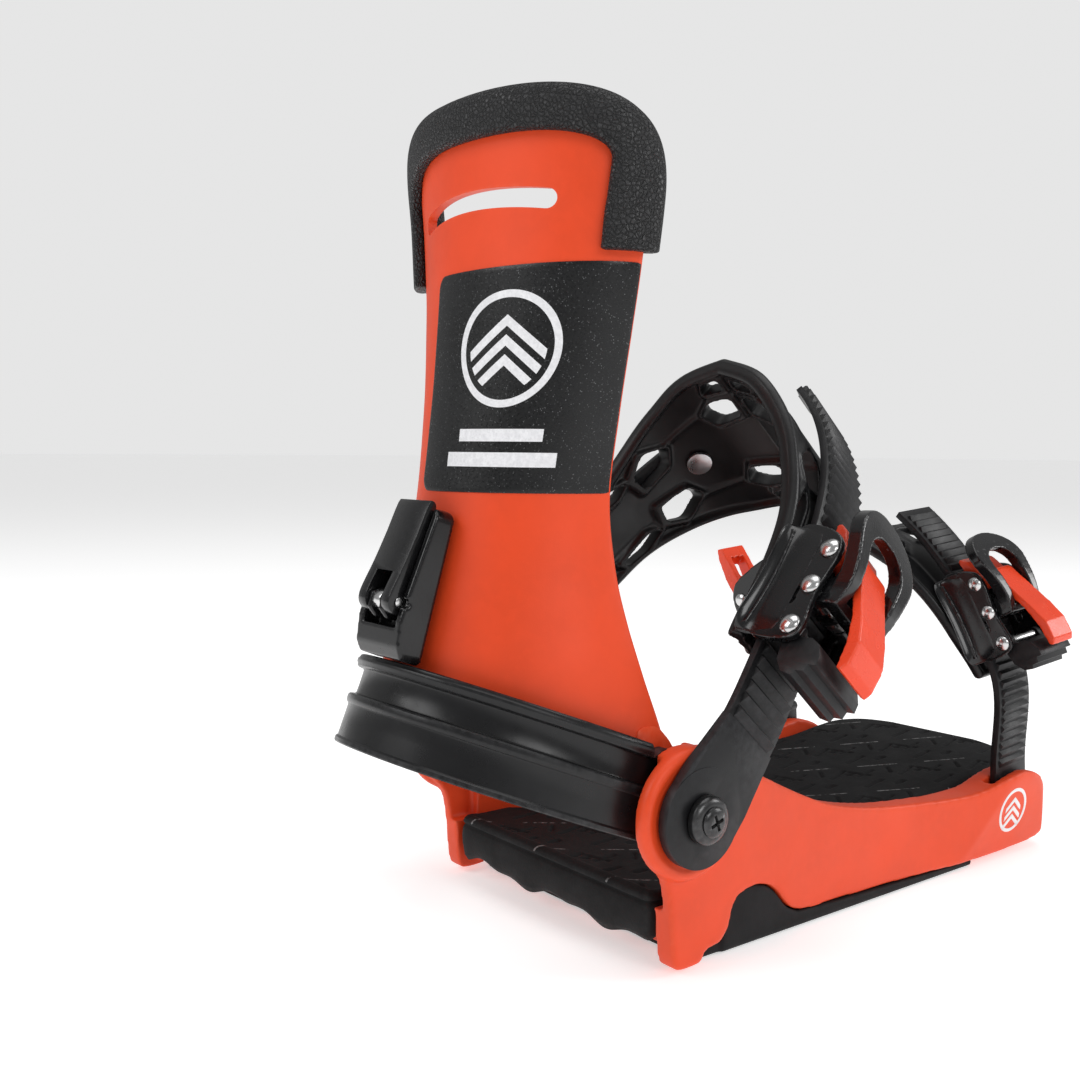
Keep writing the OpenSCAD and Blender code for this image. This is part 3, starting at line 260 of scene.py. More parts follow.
def soften(ob, times, factor=0.5):
    """plain smoothing, which rounds edges"""
    m = ob.modifiers.new("s", "SMOOTH")
    m.factor = factor
    m.iterations = times
    apply_mods(ob)


def moulded(node, name, slot, voxel=0.5, times=5, ratio=None):
    ob = cad_copy(node, name, slot)
    m = ob.modifiers.new("r", "REMESH")
    m.mode = "VOXEL"
    m.voxel_size = voxel * MM
    m.adaptivity = 0
    apply_mods(ob)
    soften(ob, times)
    if ratio:
        d = ob.modifiers.new("d", "DECIMATE")
        d.ratio = ratio
        apply_mods(ob)
    shade(ob, 180)
    return ob


def cut(ob, cutters):
    for c in cutters:
        fix_normals(c)
        m = ob.modifiers.new("c", "BOOLEAN")
        m.operation = "DIFFERENCE"
        m.solver = "EXACT"
        m.object = c
        apply_mods(ob)
        bpy.data.objects.remove(c)


def prism(poly, lo, hi, place):
    """closed prism of polygon poly between lo and hi; place maps (a, b, c) to part-frame mm"""
    poly = np.array(poly, float)
    n = len(poly)
    V = place(np.concatenate([np.c_[poly, np.full(n, lo)], np.c_[poly, np.full(n, hi)]]))
    F = [list(range(n))[::-1], list(range(n, 2 * n))] + [[i, (i + 1) % n, n + (i + 1) % n, n + i] for i in range(n)]
    me = bpy.data.meshes.new("tool")
    me.from_pydata([tuple(v) for v in V * MM], [], F)
    ob = bpy.data.objects.new("tool", me)
    scene.collection.objects.link(ob)
    return ob


def round_poly(poly, r, n=5):
    """polygon with its corners rounded to radius-like length r"""
    poly = np.array(poly, float)
    out = []
    m = len(poly)
    for i in range(m):
        p, a, b = poly[i], poly[i - 1], poly[(i + 1) % m]
        la, lb = np.linalg.norm(a - p), np.linalg.norm(b - p)
        q = min(r, la * 0.45, lb * 0.45)
        A, B = p + (a - p) / la * q, p + (b - p) / lb * q
        for k in range(n + 1):
            t = k / n
            out.append((1 - t) ** 2 * A + 2 * t * (1 - t) * p + t * t * B)
    return np.array(out)


def grid_faces(nu, nv, base=0, flip=False):
    F = []
    for i in range(nu - 1):
        for j in range(nv - 1):
            f = [base + i * nv + j, base + (i + 1) * nv + j, base + (i + 1) * nv + j + 1, base + i * nv + j + 1]
            F.append(f[::-1] if flip else f)
    return F


def border(nu, nv):
    return ([i * nv for i in range(nu)] + [(nu - 1) * nv + j for j in range(1, nv)]
            + [i * nv + nv - 1 for i in range(nu - 2, -1, -1)] + [j for j in range(nv - 2, 0, -1)])


def two_sided(A, B, nu, nv):
    """closed solid between two grids (nu*nv points each)"""
    V = np.concatenate([A, B])
    m = nu * nv
    F = grid_faces(nu, nv) + grid_faces(nu, nv, m, True)
    b = border(nu, nv)
    for k in range(len(b)):
        p, q = b[k], b[(k + 1) % len(b)]
        F.append([p, m + p, m + q, q])
    return V, F


def add_uv(ob, name, fn):
    """per-vertex two numbers stored as a point attribute of vectors"""
    me = ob.data
    at = me.attributes.new(name, "FLOAT_VECTOR", "POINT")
    co = np.zeros(len(me.vertices) * 3)
    me.vertices.foreach_get("co", co)
    at.data.foreach_set("vector", np.ascontiguousarray(fn(co.reshape(-1, 3) / MM), dtype=np.float32).ravel())


# ------------------------------------------------------------------ highback
T_w = [[40, 52.4], [72, 52.4], [92, 49.4], [108, 45.4], [124, 42], [145, 40.2], [171, 43.4], [195, 47.2], [216, 50.2], [240, 52], [290, 52]]
T_e = [[40, -93], [60, -97.5], [72, -101], [92, -107], [110, -110.4], [124, -112], [145, -113], [171, -112.2], [216, -110], [240, -108.5], [290, -107.5]]
T_b = [[40, -165.2], [80, -164.8], [97, -161.6], [110, -158.4], [125, -154.6], [140, -151.2], [153, -148.6], [166, -146.4], [180, -144.2], [197, -142.2], [214, -140.8], [230, -140.4], [250, -141.2], [290, -143.5]]
T_mw = [[40, 52.4], [72, 52.4], [92, 49.4], [108, 45.4], [124, 42], [145, 40.2], [171, 44.2], [195, 49.5], [216, 54], [240, 57.5], [255, 59.5], [290, 60]]
T_me = [[40, -93], [60, -97.5], [72, -101], [92, -107], [110, -110.4], [124, -112], [145, -113], [171, -117.1], [195, -119.5], [216, -119.2], [240, -118.6], [290, -119]]
T_mk = [[40, 0], [145, 0], [171, 0.35], [195, 0.75], [216, 1], [290, 1]]
TOP = 264.5
HBC = TOP - 31.5
BADGE = (79.6, 19.4)
BT = 3.2
RT = 4.4


def hb(f, z):
    f, z = np.broadcast_arrays(np.asarray(f, float), np.asarray(z, float))
    c, s = np.cos(np.radians(f)), np.sin(np.radians(f))
    e, b = tab(T_e, z), tab(T_b, z)
    g, k, m = (f - 90) / 90, tab(T_mk, z), tab(T_me, z)
    x = np.where(f <= 90, tab(T_w, z) * c, -tab(T_mw, z) * (-c * (1 - k) + g * k))
    y = np.where(f <= 90, e - (e - b) * s, m - (m - b) * (s * (1 - k) + (1 - g * g) * k))
    return np.stack([x, y, z], -1)


def hbn(f, z):
    n = np.cross(hb(f, z + 0.5) - hb(f, z - 0.5), hb(f + 0.5, z) - hb(f - 0.5, z))
    return n / np.linalg.norm(n, axis=-1, keepdims=True)


def hbo(f, z, o):
    return hb(f, z) + np.asarray(o)[..., None] * hbn(f, z)


def hb_top(f):
    return HBC + 31.5 * np.maximum(0, 1 - np.abs(1 - f / 90) ** 3) ** (1 / 3)


def hb_low(f):
    return 60 + 19 * np.abs(np.sin(np.radians(f))) ** 1.2


def spd(f, z):
    f, z = np.broadcast_arrays(np.asarray(f, float), np.asarray(z, float))
    return np.linalg.norm(hb(f + 0.5, z) - hb(f - 0.5, z), axis=-1)


def slot_poly(h=6.0, w=33.5, R=190.0):
    a1 = math.asin((w - h / 2) / R)
    pts = []
    for a in np.linspace(-a1, a1, 40):
        pts.append([(R + h / 2) * math.sin(a), 46 + (R + h / 2) * math.cos(a)])
    for t in np.linspace(0, math.pi, 14)[1:-1]:
        d = np.array([math.sin(a1), math.cos(a1)])
        e = np.array([math.cos(a1), -math.sin(a1)])
        c = R * d
        p = c + h / 2 * (d * math.cos(t) + e * math.sin(t))
        pts.append([p[0], 46 + p[1]])
    for a in np.linspace(a1, -a1, 40):
        pts.append([(R - h / 2) * math.sin(a), 46 + (R - h / 2) * math.cos(a)])
    for t in np.linspace(0, math.pi, 14)[1:-1]:
        d = np.array([-math.sin(a1), math.cos(a1)])
        e = np.array([-math.cos(a1), -math.sin(a1)])
        c = R * d
        p = c + h / 2 * (-d * math.cos(t) + e * math.sin(t))
        pts.append([p[0], 46 + p[1]])
    return np.array(pts) + np.array([2.2, 0.8])


def build_shell():
    d = [0, 0.12, 0.47, 0.95, 1.6]
    zs = [0, 0.12, 0.47, 0.95, 1.6]
    nz = 116
    inner = 130
    cols_f, cols_e = [], []
    # the columns: rounded edges first, then even steps
    nf = 2 * len(d) + inner - 2
    rows = len(zs) + nz
    Fg = np.zeros((nf, rows))
    Zg = np.zeros((nf, rows))
    Eg = np.zeros((nf, rows))
    uv = np.linspace(0, 1, nz + 1)
    f_guess = np.concatenate([[0] * len(d), np.linspace(2, 178, inner), [180] * len(d)])[:nf]
    for i in range(nf):
        # base angle
        if i < len(d):
            k, side = i, 0
        elif i >= nf - len(d):
            k, side = nf - 1 - i, 1
        else:
            k, side = len(d) - 1, 2
        if side < 2:
            fb = 0.0
        else:
            t = (i - len(d) + 1) / (nf - 2 * len(d) + 1)
        ft = 90.0 if side == 2 else 0
        # z range from the angle at mid height
        if side == 2:
            f0 = 1.6 / 0.8 + (180 - 2 * 1.6 / 0.8) * t
        else:
            f0 = (d[k] / 0.8) if side == 0 else 180 - d[k] / 0.8
        lo, hi = hb_low(f0), hb_top(f0)
        z = np.concatenate([[lo + q for q in zs], lo + 1.6 + (hi - lo - 1.6) * uv[1:]])
        s0, s1 = spd(0.5, z), spd(179.5, z)
        if side == 0:
            f = d[k] / s0
        elif side == 1:
            f = 180 - d[k] / s1
        else:
            f = 1.6 / s0 + (180 - 1.6 / s0 - 1.6 / s1) * t
        dd = np.full(rows, 1.6)
        if side < 2:
            dd = np.minimum(dd, d[k])
        low = np.concatenate([zs, np.full(rows - len(zs), 1.6)])
        dd = np.minimum(dd, low)
        Fg[i], Zg[i], Eg[i] = f, z, dd
    inset = 1.6 - np.sqrt(np.maximum(0, 1.6 ** 2 - (1.6 - Eg) ** 2))
    out = hbo(Fg, Zg, -inset).reshape(-1, 3)
    inn = hbo(Fg, Zg, -BT + inset).reshape(-1, 3)
    V, F = two_sided(out, inn, nf, rows)
    ob = make("highback_moulding", V, F, "highback", "orange_plastic", ["highback_shell"])
    fix_normals(ob)
    c1 = prism(slot_poly(), -170, -100, lambda q: np.c_[q[:, 0], q[:, 2], q[:, 1]])
    # lean slot
    th = np.linspace(0, math.pi, 12)
    lp = [[2.6 * math.cos(t), 34 + 2.6 * math.sin(t)] for t in th] + [[-2.6 * math.cos(t), -2.6 * math.sin(t)] for t in th]

    def lean_place(q):
        # local x, y along the back, z out of it
        V = np.c_[q[:, 0], q[:, 1], q[:, 2]] @ rotx(90 + 16).T
        return V + np.array([0, -140, 104])
    c2 = prism(lp, -20, 40, lean_place)
    cut(ob, [c1, c2])
    bm = bmesh.new()
    bm.from_mesh(ob.data)
    bmesh.ops.remove_doubles(bm, verts=bm.verts, dist=5e-6)
    bm.to_mesh(ob.data)
    bm.free()
    shade(ob, 42)
    return ob


def build_wings():
    """the round ears that carry the highback on its pivots"""
    ob = cad_copy("highback_shell", "highback_ears", "orange_plastic")
    bm = bmesh.new()
    bm.from_mesh(ob.data)
    # keep only the loose ears by rebuilding them
    bm.clear()
    for s in (-1, 1):
        n = 64
        prof = [(5.06, 50.2), (10.9, 50.2), (11.5, 50.8), (11.5, 52.4), (10.9, 53.0), (9.0, 53.0), (8.4, 52.7), (7.2, 52.7), (6.6, 53.0), (5.4, 53.0), (5.06, 52.7)]
        rings = []
        for k in range(n):
            a = 2 * math.pi * k / n
            rings.append([bm.verts.new(((s * x) * MM, (-101 + r * math.cos(a)) * MM, (50.5 + r * math.sin(a)) * MM)) for r, x in prof])
        for k in range(n):
            A, B = rings[k], rings[(k + 1) % n]
            for j in range(len(prof)):
                bm.faces.new([A[j], A[(j + 1) % len(prof)], B[(j + 1) % len(prof)], B[j]])
        # web that joins the ear to the shell
        W = np.array([[-112, 52], [-106, 50.5], [-96, 50.5], [-91.5, 52], [-94, 62], [-98, 70], [-104, 76], [-112, 76]], float)
        W = round_poly(W, 2.5, 3)
        lo = [bm.verts.new((s * 50.3 * MM, y * MM, z * MM)) for y, z in W]
        c = W.mean(0)
        md = [bm.verts.new((s * 52.0 * MM, y * MM, z * MM)) for y, z in W]
        hi = [bm.verts.new((s * 52.4 * MM, (c[0] + (y - c[0]) * 0.95) * MM, (c[1] + (z - c[1]) * 0.95) * MM)) for y, z in W]
        m = len(W)
        bm.faces.new(lo)
        bm.faces.new(hi[::-1])
        for a, b in ((lo, md), (md, hi)):
            for j in range(m):
                bm.faces.new([a[j], a[(j + 1) % m], b[(j + 1) % m], b[j]])
    bmesh.ops.recalc_face_normals(bm, faces=bm.faces)
    bm.to_mesh(ob.data)
    bm.free()
    shade(ob, 35)
    return ob


def rim_e(q):
    q = np.asarray(q, float)
    t = np.radians(180 * (q - 0.12) / 0.76)
    c = np.cos(t)
    f = 90 - 90 * np.sign(c) * np.abs(c) ** (2 / 3)
    z = HBC + 31.5 * np.maximum(0, np.sin(t)) ** (2 / 3)
    f = np.where(q < 0.12, 0, np.where(q > 0.88, 180, f))
    z = np.where(q < 0.12, 219.4 + (HBC - 219.4) * q / 0.12, np.where(q > 0.88, 217 + (HBC - 217) * (1 - q) / 0.12, z))
    return f, z


def rim_in(q):
    f, z = rim_e(q)
    fa, za = rim_e(np.maximum(0, q - 0.012))
    fb, zb = rim_e(np.minimum(1, q + 0.012))
    s = spd(f, z)
    t = np.stack([(fb - fa) * s, zb - za], -1)
    t = t / np.linalg.norm(t, axis=-1, keepdims=True)
    return t[..., 1] / s, -t[..., 0]


def build_rim():
    # outside skin, then round the edge to the inside skin; a stitched-looking seam runs along the outer edge
    outer = [[21.6, 0.2], [22.3, 0.9], [22.4, 1.9], [21.9, 2.9], [20.8, 3.6], [19.4, 3.95], [16, 4.25], [11, 4.4], [6, 4.4], [2, 4.3], [-0.4, 4.0], [-1.9, 3.4], [-2.7, 2.75], [-2.9, 2.2], [-2.75, 1.75],
             [-3.3, 1.35], [-3.8, 0.6], [-4.05, -0.8], [-4.0, -2.6], [-3.6, -4.4], [-2.8, -5.9], [-1.4, -7.0], [0.6, -7.5], [4, -7.65], [8, -7.6], [11, -7.2], [13.4, -6.3], [14.7, -5.0], [15, -3.8]]
    sec = list(smooth(outer, 4)) + [[14.8, -BT - 0.12], [7, -BT - 0.12], [-0.35, -BT - 0.12], [-0.35, 0.12], [7, 0.12], [15, 0.12]]
    sec = np.array(sec)
    nq = 260
    q = np.linspace(0, 1, nq + 1)
    f, z = rim_e(q)
    di, dz = rim_in(q)
    k = len(sec)
    B, N = sec[:, 0][None, :], sec[:, 1][None, :]
    dep = np.array([tab([[0, 13.6], [0.12, 13.6], [0.3, 10.6], [0.45, 9.8], [0.6, 10.6], [0.75, 13], [0.88, 15], [1, 15]], v) for v in q])
    B = np.where(B < 1, B, B * dep[:, None] / 22)
    fg = f[:, None] + di[:, None] * B
    zg = z[:, None] + dz[:, None] * B
    P = hbo(fg, zg, np.broadcast_to(N, fg.shape))
    # the pad pulls in a little towards its two ends
    P = P.reshape(-1, 3)
    F = []
    for i in range(nq):
        for j in range(k):
            F.append([i * k + j, i * k + (j + 1) % k, (i + 1) * k + (j + 1) % k, (i + 1) * k + j])
    # rounded end caps: rings that shrink towards the section's middle
    V = [P]
    base = len(P)
    for end, i0, sgn in ((0, 0, -1), (1, nq, 1)):
        ring = P[i0 * k:(i0 + 1) * k]
        c = ring.mean(0)
        prev = [i0 * k + j for j in range(k)]
        d = (ring.mean(0) - P[(i0 - sgn) * k:(i0 - sgn + 1) * k].mean(0))
        d = d / np.linalg.norm(d)
        for sh, out in ((0.985, 0.25), (0.95, 0.5), (0.86, 0.7)):
            R = c + (ring - c) * sh + d * out
            # the pocket for the shell stays as it is
            R[len(smooth(outer, 4)):] = ring[len(smooth(outer, 4)):] + d * out
            V.append(R)
            cur = list(range(base, base + k))
            base += k
            for j in range(k):
                a = [prev[j], prev[(j + 1) % k], cur[(j + 1) % k], cur[j]]
                F.append(a if end else a[::-1])
            prev = cur
        F.append(prev if end else prev[::-1])
    V = np.concatenate(V)
    ob = make("highback_rim_cushion", V, F, "highback", "grained_foam", ["highback_rim_pad"])
    fix_normals(ob)
    shade(ob, 60)
    return ob


def build_panel():
    nf, nz = 150, 100
    f = np.linspace(2.5, 111, nf)
    z = np.linspace(147, 215.5, nz)
    Fm, Zm = np.meshgrid(f, z, indexing="ij")
    # superellipse-like rounding of the two corners on the right side
    s = spd(np.full_like(Zm, 60.0), Zm)
    U = np.cumsum(np.r_[0, np.linalg.norm(np.diff(hb(f, 181.0), axis=0), axis=1)])
    W = U[-1]
    r = 5.0
    un = U.copy()
    d_end = np.minimum(W - U, U + 3)
    push = np.where(d_end < r, r - np.sqrt(np.maximum(0, r * r - (r - d_end) ** 2)), 0)
    lo, hi = 147 + push, 215.5 - push
    T = np.linspace(0, 1, nz)
    Zm = lo[:, None] + (hi - lo)[:, None] * T[None, :]
    Fm = 2.5 + (104.5 + 9 * tab(T_mk, Zm)) * np.linspace(0, 1, nf)[:, None]
    du = np.minimum(np.minimum(U, W - U)[:, None], np.minimum(Zm - lo[:, None], hi[:, None] - Zm))
    o = 0.46 - 0.16 * (1 - sstep(0, 0.8, du))
    A = hbo(Fm, Zm, o).reshape(-1, 3)
    B = hbo(Fm, Zm, np.full_like(o, 0.06)).reshape(-1, 3)
    V, F = two_sided(A, B, nf, nz)
    ob = make("highback_speckle_panel", V, F, "highback", "black_speckle", ["highback_panel"])
    me = ob.data
    at = me.attributes.new("mark_pos", "FLOAT_VECTOR", "POINT")
    M = np.stack([np.broadcast_to(U[:, None] - 38.0, Zm.shape), Zm - 181.0, np.zeros_like(Zm)], -1).reshape(-1, 3)
    M = np.concatenate([M, M])
    at.data.foreach_set("vector", M.astype(np.float32).ravel())
    fix_normals(ob)
    shade(ob, 30)
    return ob, W


def build_badges(base):
    """small raised plain mark on the outside of each toe ear, laid on the moulding by casting along X"""
    from mathutils.bvhtree import BVHTree
    dg = bpy.context.evaluated_depsgraph_get()
    bv = BVHTree.FromObject(base, dg)
    cy, cz = BADGE
    sheets = []
    for a0, a1 in ((0, 180), (180, 360)):
        a = np.radians(np.linspace(a0, a1, 49))
        r = np.array([7.7, 7.9, 8.4, 8.9, 9.1])
        sheets.append((cy + np.cos(a)[:, None] * r[None, :], cz + np.sin(a)[:, None] * r[None, :]))
    for h in (4.4, 0.9, -2.6):
        for m in (-1, 1):
            u = np.linspace(0, 1, 15)
            v = np.array([-1.0, -0.75, 0.0, 0.75, 1.0])
            Y = cy + m * (u[:, None] * 5.2) + 0 * v[None, :]
            Z = cz + h - u[:, None] * 4.1 + v[None, :]
            sheets.append((Y, Z))
    V, F, base_i = [], [], 0
    for sd in (1, -1):
        for Y, Z in sheets:
            nu, nv = Y.shape
            X = np.zeros(Y.shape)
            for i in range(nu):
                for j in range(nv):
                    hit = bv.ray_cast(Vector((sd * 0.1, Y[i, j] * MM, Z[i, j] * MM)), Vector((-sd, 0, 0)))
                    X[i, j] = (hit[0].x / MM) if hit[0] is not None else sd * 63.0
            lift = np.full(X.shape, 0.2)
            lift[:, 0] = lift[:, -1] = 0.05
            A = np.stack([X + sd * lift, Y, Z], -1).reshape(-1, 3)
            B = np.stack([X - sd * 0.2, Y, Z], -1).reshape(-1, 3)
            v, f = two_sided(A, B, nu, nv)
            V.append(v)
            F += [[k + base_i for k in q] for q in f]
            base_i += len(v)
    ob = make("toe_ear_badges", np.concatenate(V), F, "base", "white_mark", [])
    fix_normals(ob)
    shade(ob, 40)
    return ob


# ------------------------------------------------------------------ heel hoop
def hoop_pt(w, d, a, p=2.12):
    a = np.radians(a)
    return np.stack([w * np.sign(np.cos(a)) * np.abs(np.cos(a)) ** (2 / p), -5 - (d - 5) * np.abs(np.sin(a)) ** (2 / p)], -1)


def build_hoop():
    # section of the band: (offset outwards from the 58 line, height), outer side then back down the inside
    side = [[-2.6, -15.9], [-2.0, -16.4], [-0.9, -16.4], [-0.6, -16.0], [-0.6, -14.9], [-0.9, -14.5], [-1.2, -14.2], [-1.2, -9], [-1.2, -4.2], [-1.0, -3.6], [-0.6, -3.3], [-0.3, -2.6], [-0.2, -1.9], [-0.25, -0.9], [-0.7, -0.4],
            [-2.3, 0.0], [-2.55, 0.5], [-2.6, 4], [-2.55, 7.6], [-2.3, 8.1], [-0.6, 8.4], [-0.1, 8.8], [0.05, 9.5], [0.45, 10.1], [0.5, 10.6], [0.45, 11.1], [0.05, 11.6], [-0.1, 12.2], [-0.6, 12.6], [-3.8, 12.6], [-4.4, 12.3], [-4.6, 11.8]]
    inside = [[-4.6, 4], [-4.6, -6], [-4.6, -15.8], [-4.3, -16.3], [-3.6, -16.4]]
    sec = np.array(side + inside)
    a = np.linspace(0, 180, 261)
    k = len(sec)
    line = lambda w, d: np.concatenate([[[w, 16]], [[w, 8]], hoop_pt(w, d, a), [[-w, 8]], [[-w, 16]]])
    cols = [line(58 + o, 75 + o) for o, v in sec]
    n = len(cols[0])
    V = np.zeros((n, k, 3))
    for j in range(k):
        V[:, j, :2] = cols[j]
        V[:, j, 2] = sec[j, 1]
    P = to_frame(V.reshape(-1, 3), (0, -104, 56), -22)
    # the ends run into the pivot bosses and stop there
    F = []
    for i in range(n - 1):
        for j in range(k):
            F.append([i * k + j, i * k + (j + 1) % k, (i + 1) * k + (j + 1) % k, (i + 1) * k + j])
    F += [list(range(k))[::-1], [(n - 1) * k + j for j in range(k)]]
    ob = make("heel_hoop_band", P, F, "base", "black_alloy", ["heel_hoop"])
    fix_normals(ob)
    return ob


def build_hoop_final():
    """dense hoop trimmed by the same tongue cuts as its CAD solid"""
    ob = build_hoop()
    tools = []

    def slab(x0, x1, y0, y1, z0, z1):
        return prism([[x0, y0], [x1, y0], [x1, y1], [x0, y1]], z0, z1, lambda q: q)
    tools.append(slab(-80, 80, -96.8, -30, 0, 110))
    th = np.linspace(0, 2 * math.pi, 97)[:-1]
    for s in (-1, 1):
        tools.append(slab(*sorted((s * 57.8, s * 78)), -110.6, -50, 0, 110))
        # outside of the boss circle is removed ahead of the boss
        ring = [[-101 + 19.9 * math.cos(t), 50.5 + 19.9 * math.sin(t)] for t in th]
        arc = [[-101 + 19.9 * math.cos(t), 50.5 + 19.9 * math.sin(t)] for t in np.linspace(-2.073, 2.073, 60)]
        up = [p for p in arc if p[0] > -110.6]
        poly = [[-110.6, 120]] + [[-30, 120]] + [[-30, -10]] + [[-110.6, -10]]
        A = [[-101 + 19.9 * math.cos(t), 50.5 + 19.9 * math.sin(t)] for t in np.linspace(-2.0729, 2.0729, 70)]
        poly = [[-110.6, -20], [-30, -20], [-30, 130], [-110.6, 130]] + A[::-1]
        tools.append(prism(poly, 50, 70, (lambda q, s=s: np.c_[s * q[:, 2], q[:, 0], q[:, 1]])))
        hole = [[-101 + 7 * math.cos(t), 50.5 + 7 * math.sin(t)] for t in th[::2]]
        tools.append(prism(hole, 49, 61, (lambda q, s=s: np.c_[s * q[:, 2], q[:, 0], q[:, 1]])))
    cut(ob, tools)
    shade(ob, 32)
    return ob


def build_skirts(kind, place, base_x, R):
    """pressed flanges that flow from each buckle cheek down onto the strap pad"""
    sec = np.array([[7.0, 15.7], [6.6, 15.95], [3.5, 16.0], [0.5, 16.25], [-2.0, 17.0], [-3.9, 18.3], [-4.9, 19.9], [-5.25, 20.9], [-5.5, 20.7], [-5.4, 19.4], [-4.6, 17.2], [-3.2, 15.6], [0.0, 14.9], [6.6, 15.2]])
    sec = np.concatenate([smooth(np.r_[sec, sec[:1]], 3)[:-1]])
    k = len(sec)
    ys = np.linspace(-20.2, 23.4, 60)
    V, F, base_i = [], [], 0
    for sd in (1, -1):
        rows = []
        for y in ys:
            t = min((y + 20.2) / 7.0, (23.4 - y) / 9.0, 1.0)
            t = math.sqrt(max(0.0, 1 - (1 - max(t, 0.0)) ** 2))
            x = sec[:, 0].copy()
            z = 15.2 + (sec[:, 1] - 15.2) * (0.12 + 0.88 * t)
            drop = np.clip((4.0 - x) / 9.0, 0, 1)
            x = np.where(x < 0, x * (base_x / 5.3), x)
            x = x - drop * y * y / (2 * R)
            # the upper edge follows the cheek's rounded ends
            x = np.minimum(x, 2.0 + 5.0 * t)
            rows.append(np.c_[x, np.full(k, y), sd * z])
        rows = np.array(rows)
        n = len(ys)
        V.append(rows.reshape(-1, 3))
        for i in range(n - 1):
            for j in range(k):
                q = [base_i + i * k + j, base_i + i * k + (j + 1) % k, base_i + (i + 1) * k + (j + 1) % k, base_i + (i + 1) * k + j]
                F.append(q)
        F.append([base_i + j for j in range(k)][::-1])
        F.append([base_i + (n - 1) * k + j for j in range(k)])
        base_i += n * k
    ob = make(kind + "_buckle_skirts", place(np.concatenate(V)), F, kind + "_pad_body", "black_alloy_gloss", [])
    fix_normals(ob)
    shade(ob, 50)
    return ob


# ------------------------------------------------------------------ foam beds
def dash_depth(x, y, kind=0):
    """depth of the tread pattern, 0..1"""
    e1 = np.array([math.cos(math.radians(52)), math.sin(math.radians(52))])
    e2 = np.array([-e1[1], e1[0]])
    p = x * e1[0] + y * e1[1]
    q = x * e2[0] + y * e2[1]
    A, B = 28.0, 30.0
    out = np.zeros_like(p)
    pc = (p + A / 2) % A - A / 2
    qc = (q + B / 2) % B - B / 2
    marks = [((-11, 5.5), (-3.2, 12.2), 0.75), ((6.0, -12.5), (12.6, -4.6), 0.75), ((14.6, -6.2), (21.6, -11.6), 0.7), ((2.2, 7.6), (4.6, 9.4), 1.2), ((13.4, -9.4), (14.4, -9.2), 0.9), ((2.6, -9.6), (3.0, -3.6), 0.5), ((-11, -12), (-4, -6), 0.6)]
    for dx in (-A, 0, A):
        for dy in (-B, 0, B):
            for a, b, w in marks:
                a_ = np.array(a) + (dx, dy)
                b_ = np.array(b) + (dx, dy)
                d = b_ - a_
                L = d @ d
                t = np.clip(((pc - a_[0]) * d[0] + (qc - a_[1]) * d[1]) / L, 0, 1)
                r = np.hypot(pc - a_[0] - t * d[0], qc - a_[1] - t * d[1])
                out = np.maximum(out, 1 - sstep(w - 0.35, w + 0.35, r))
    return out


def bed(name, half, ys, top, profile, bottom, slot, body, node, nx, groove=0.8, edge_top=None):
    """soft bed: a grid top with its tread pattern, then rings (inset, z) down its side"""
    nu, nv = len(ys), nx
    hw = half(ys)
    s = np.linspace(-1, 1, nv)
    X = hw[:, None] * s[None, :]
    Y = np.broadcast_to(ys[:, None], X.shape)
    b = border(nu, nv)
    loop = np.stack([X.ravel()[b], Y.ravel()[b]], 1)
    lp = resample(np.concatenate([loop, loop[:1]]), 1.5)
    pts = np.stack([X.ravel(), Y.ravel()], 1)
    dist = seg_dist(pts, lp[:-1], lp[1:])
    Z = top(pts[:, 0], pts[:, 1], dist)
    g = dash_depth(pts[:, 0], pts[:, 1]) * sstep(1.4, 3.0, dist)
    Z = Z - groove * g
    V = [np.c_[pts, Z]]
    F = grid_faces(nu, nv)
    # outward directions along the border
    n = len(b)
    t = np.roll(loop, -2, 0) - np.roll(loop, 2, 0)
    t /= np.linalg.norm(t, axis=1, keepdims=True) + 1e-9
    nrm = np.stack([t[:, 1], -t[:, 0]], 1)
    c = loop.mean(0)
    if ((loop - c) * nrm).sum() < 0:
        nrm = -nrm
    for k in range(6):
        nrm = (np.roll(nrm, 1, 0) + nrm + np.roll(nrm, -1, 0)) / 3
    nrm /= np.linalg.norm(nrm, axis=1, keepdims=True)
    base = nu * nv
    prev = b
    zb = Z[b]
    for out, zf in profile:
        P = loop + nrm * out
        z = zf(P[:, 0], P[:, 1], zb)
        V.append(np.c_[P, z])
        cur = list(range(base, base + n))
        base += n
        for k in range(n):
            F.append([prev[k], cur[k], cur[(k + 1) % n], prev[(k + 1) % n]])
        prev = cur
    # closed below by a grid with the same border
    zlow = V[-1][:, 2]
    low = np.c_[pts * 0.985 + np.array([0, loop[:, 1].mean() * 0.015]), np.full(len(pts), bottom)]
    V.append(low)
    F += grid_faces(nu, nv, base, True)
    bb = [base + k for k in b]
    for k in range(n):
        F.append([prev[k], bb[k], bb[(k + 1) % n], prev[(k + 1) % n]])
    ob = make(name, np.concatenate(V), F, body, slot, [node])
    fix_normals(ob)
    shade(ob, 180)
    return ob


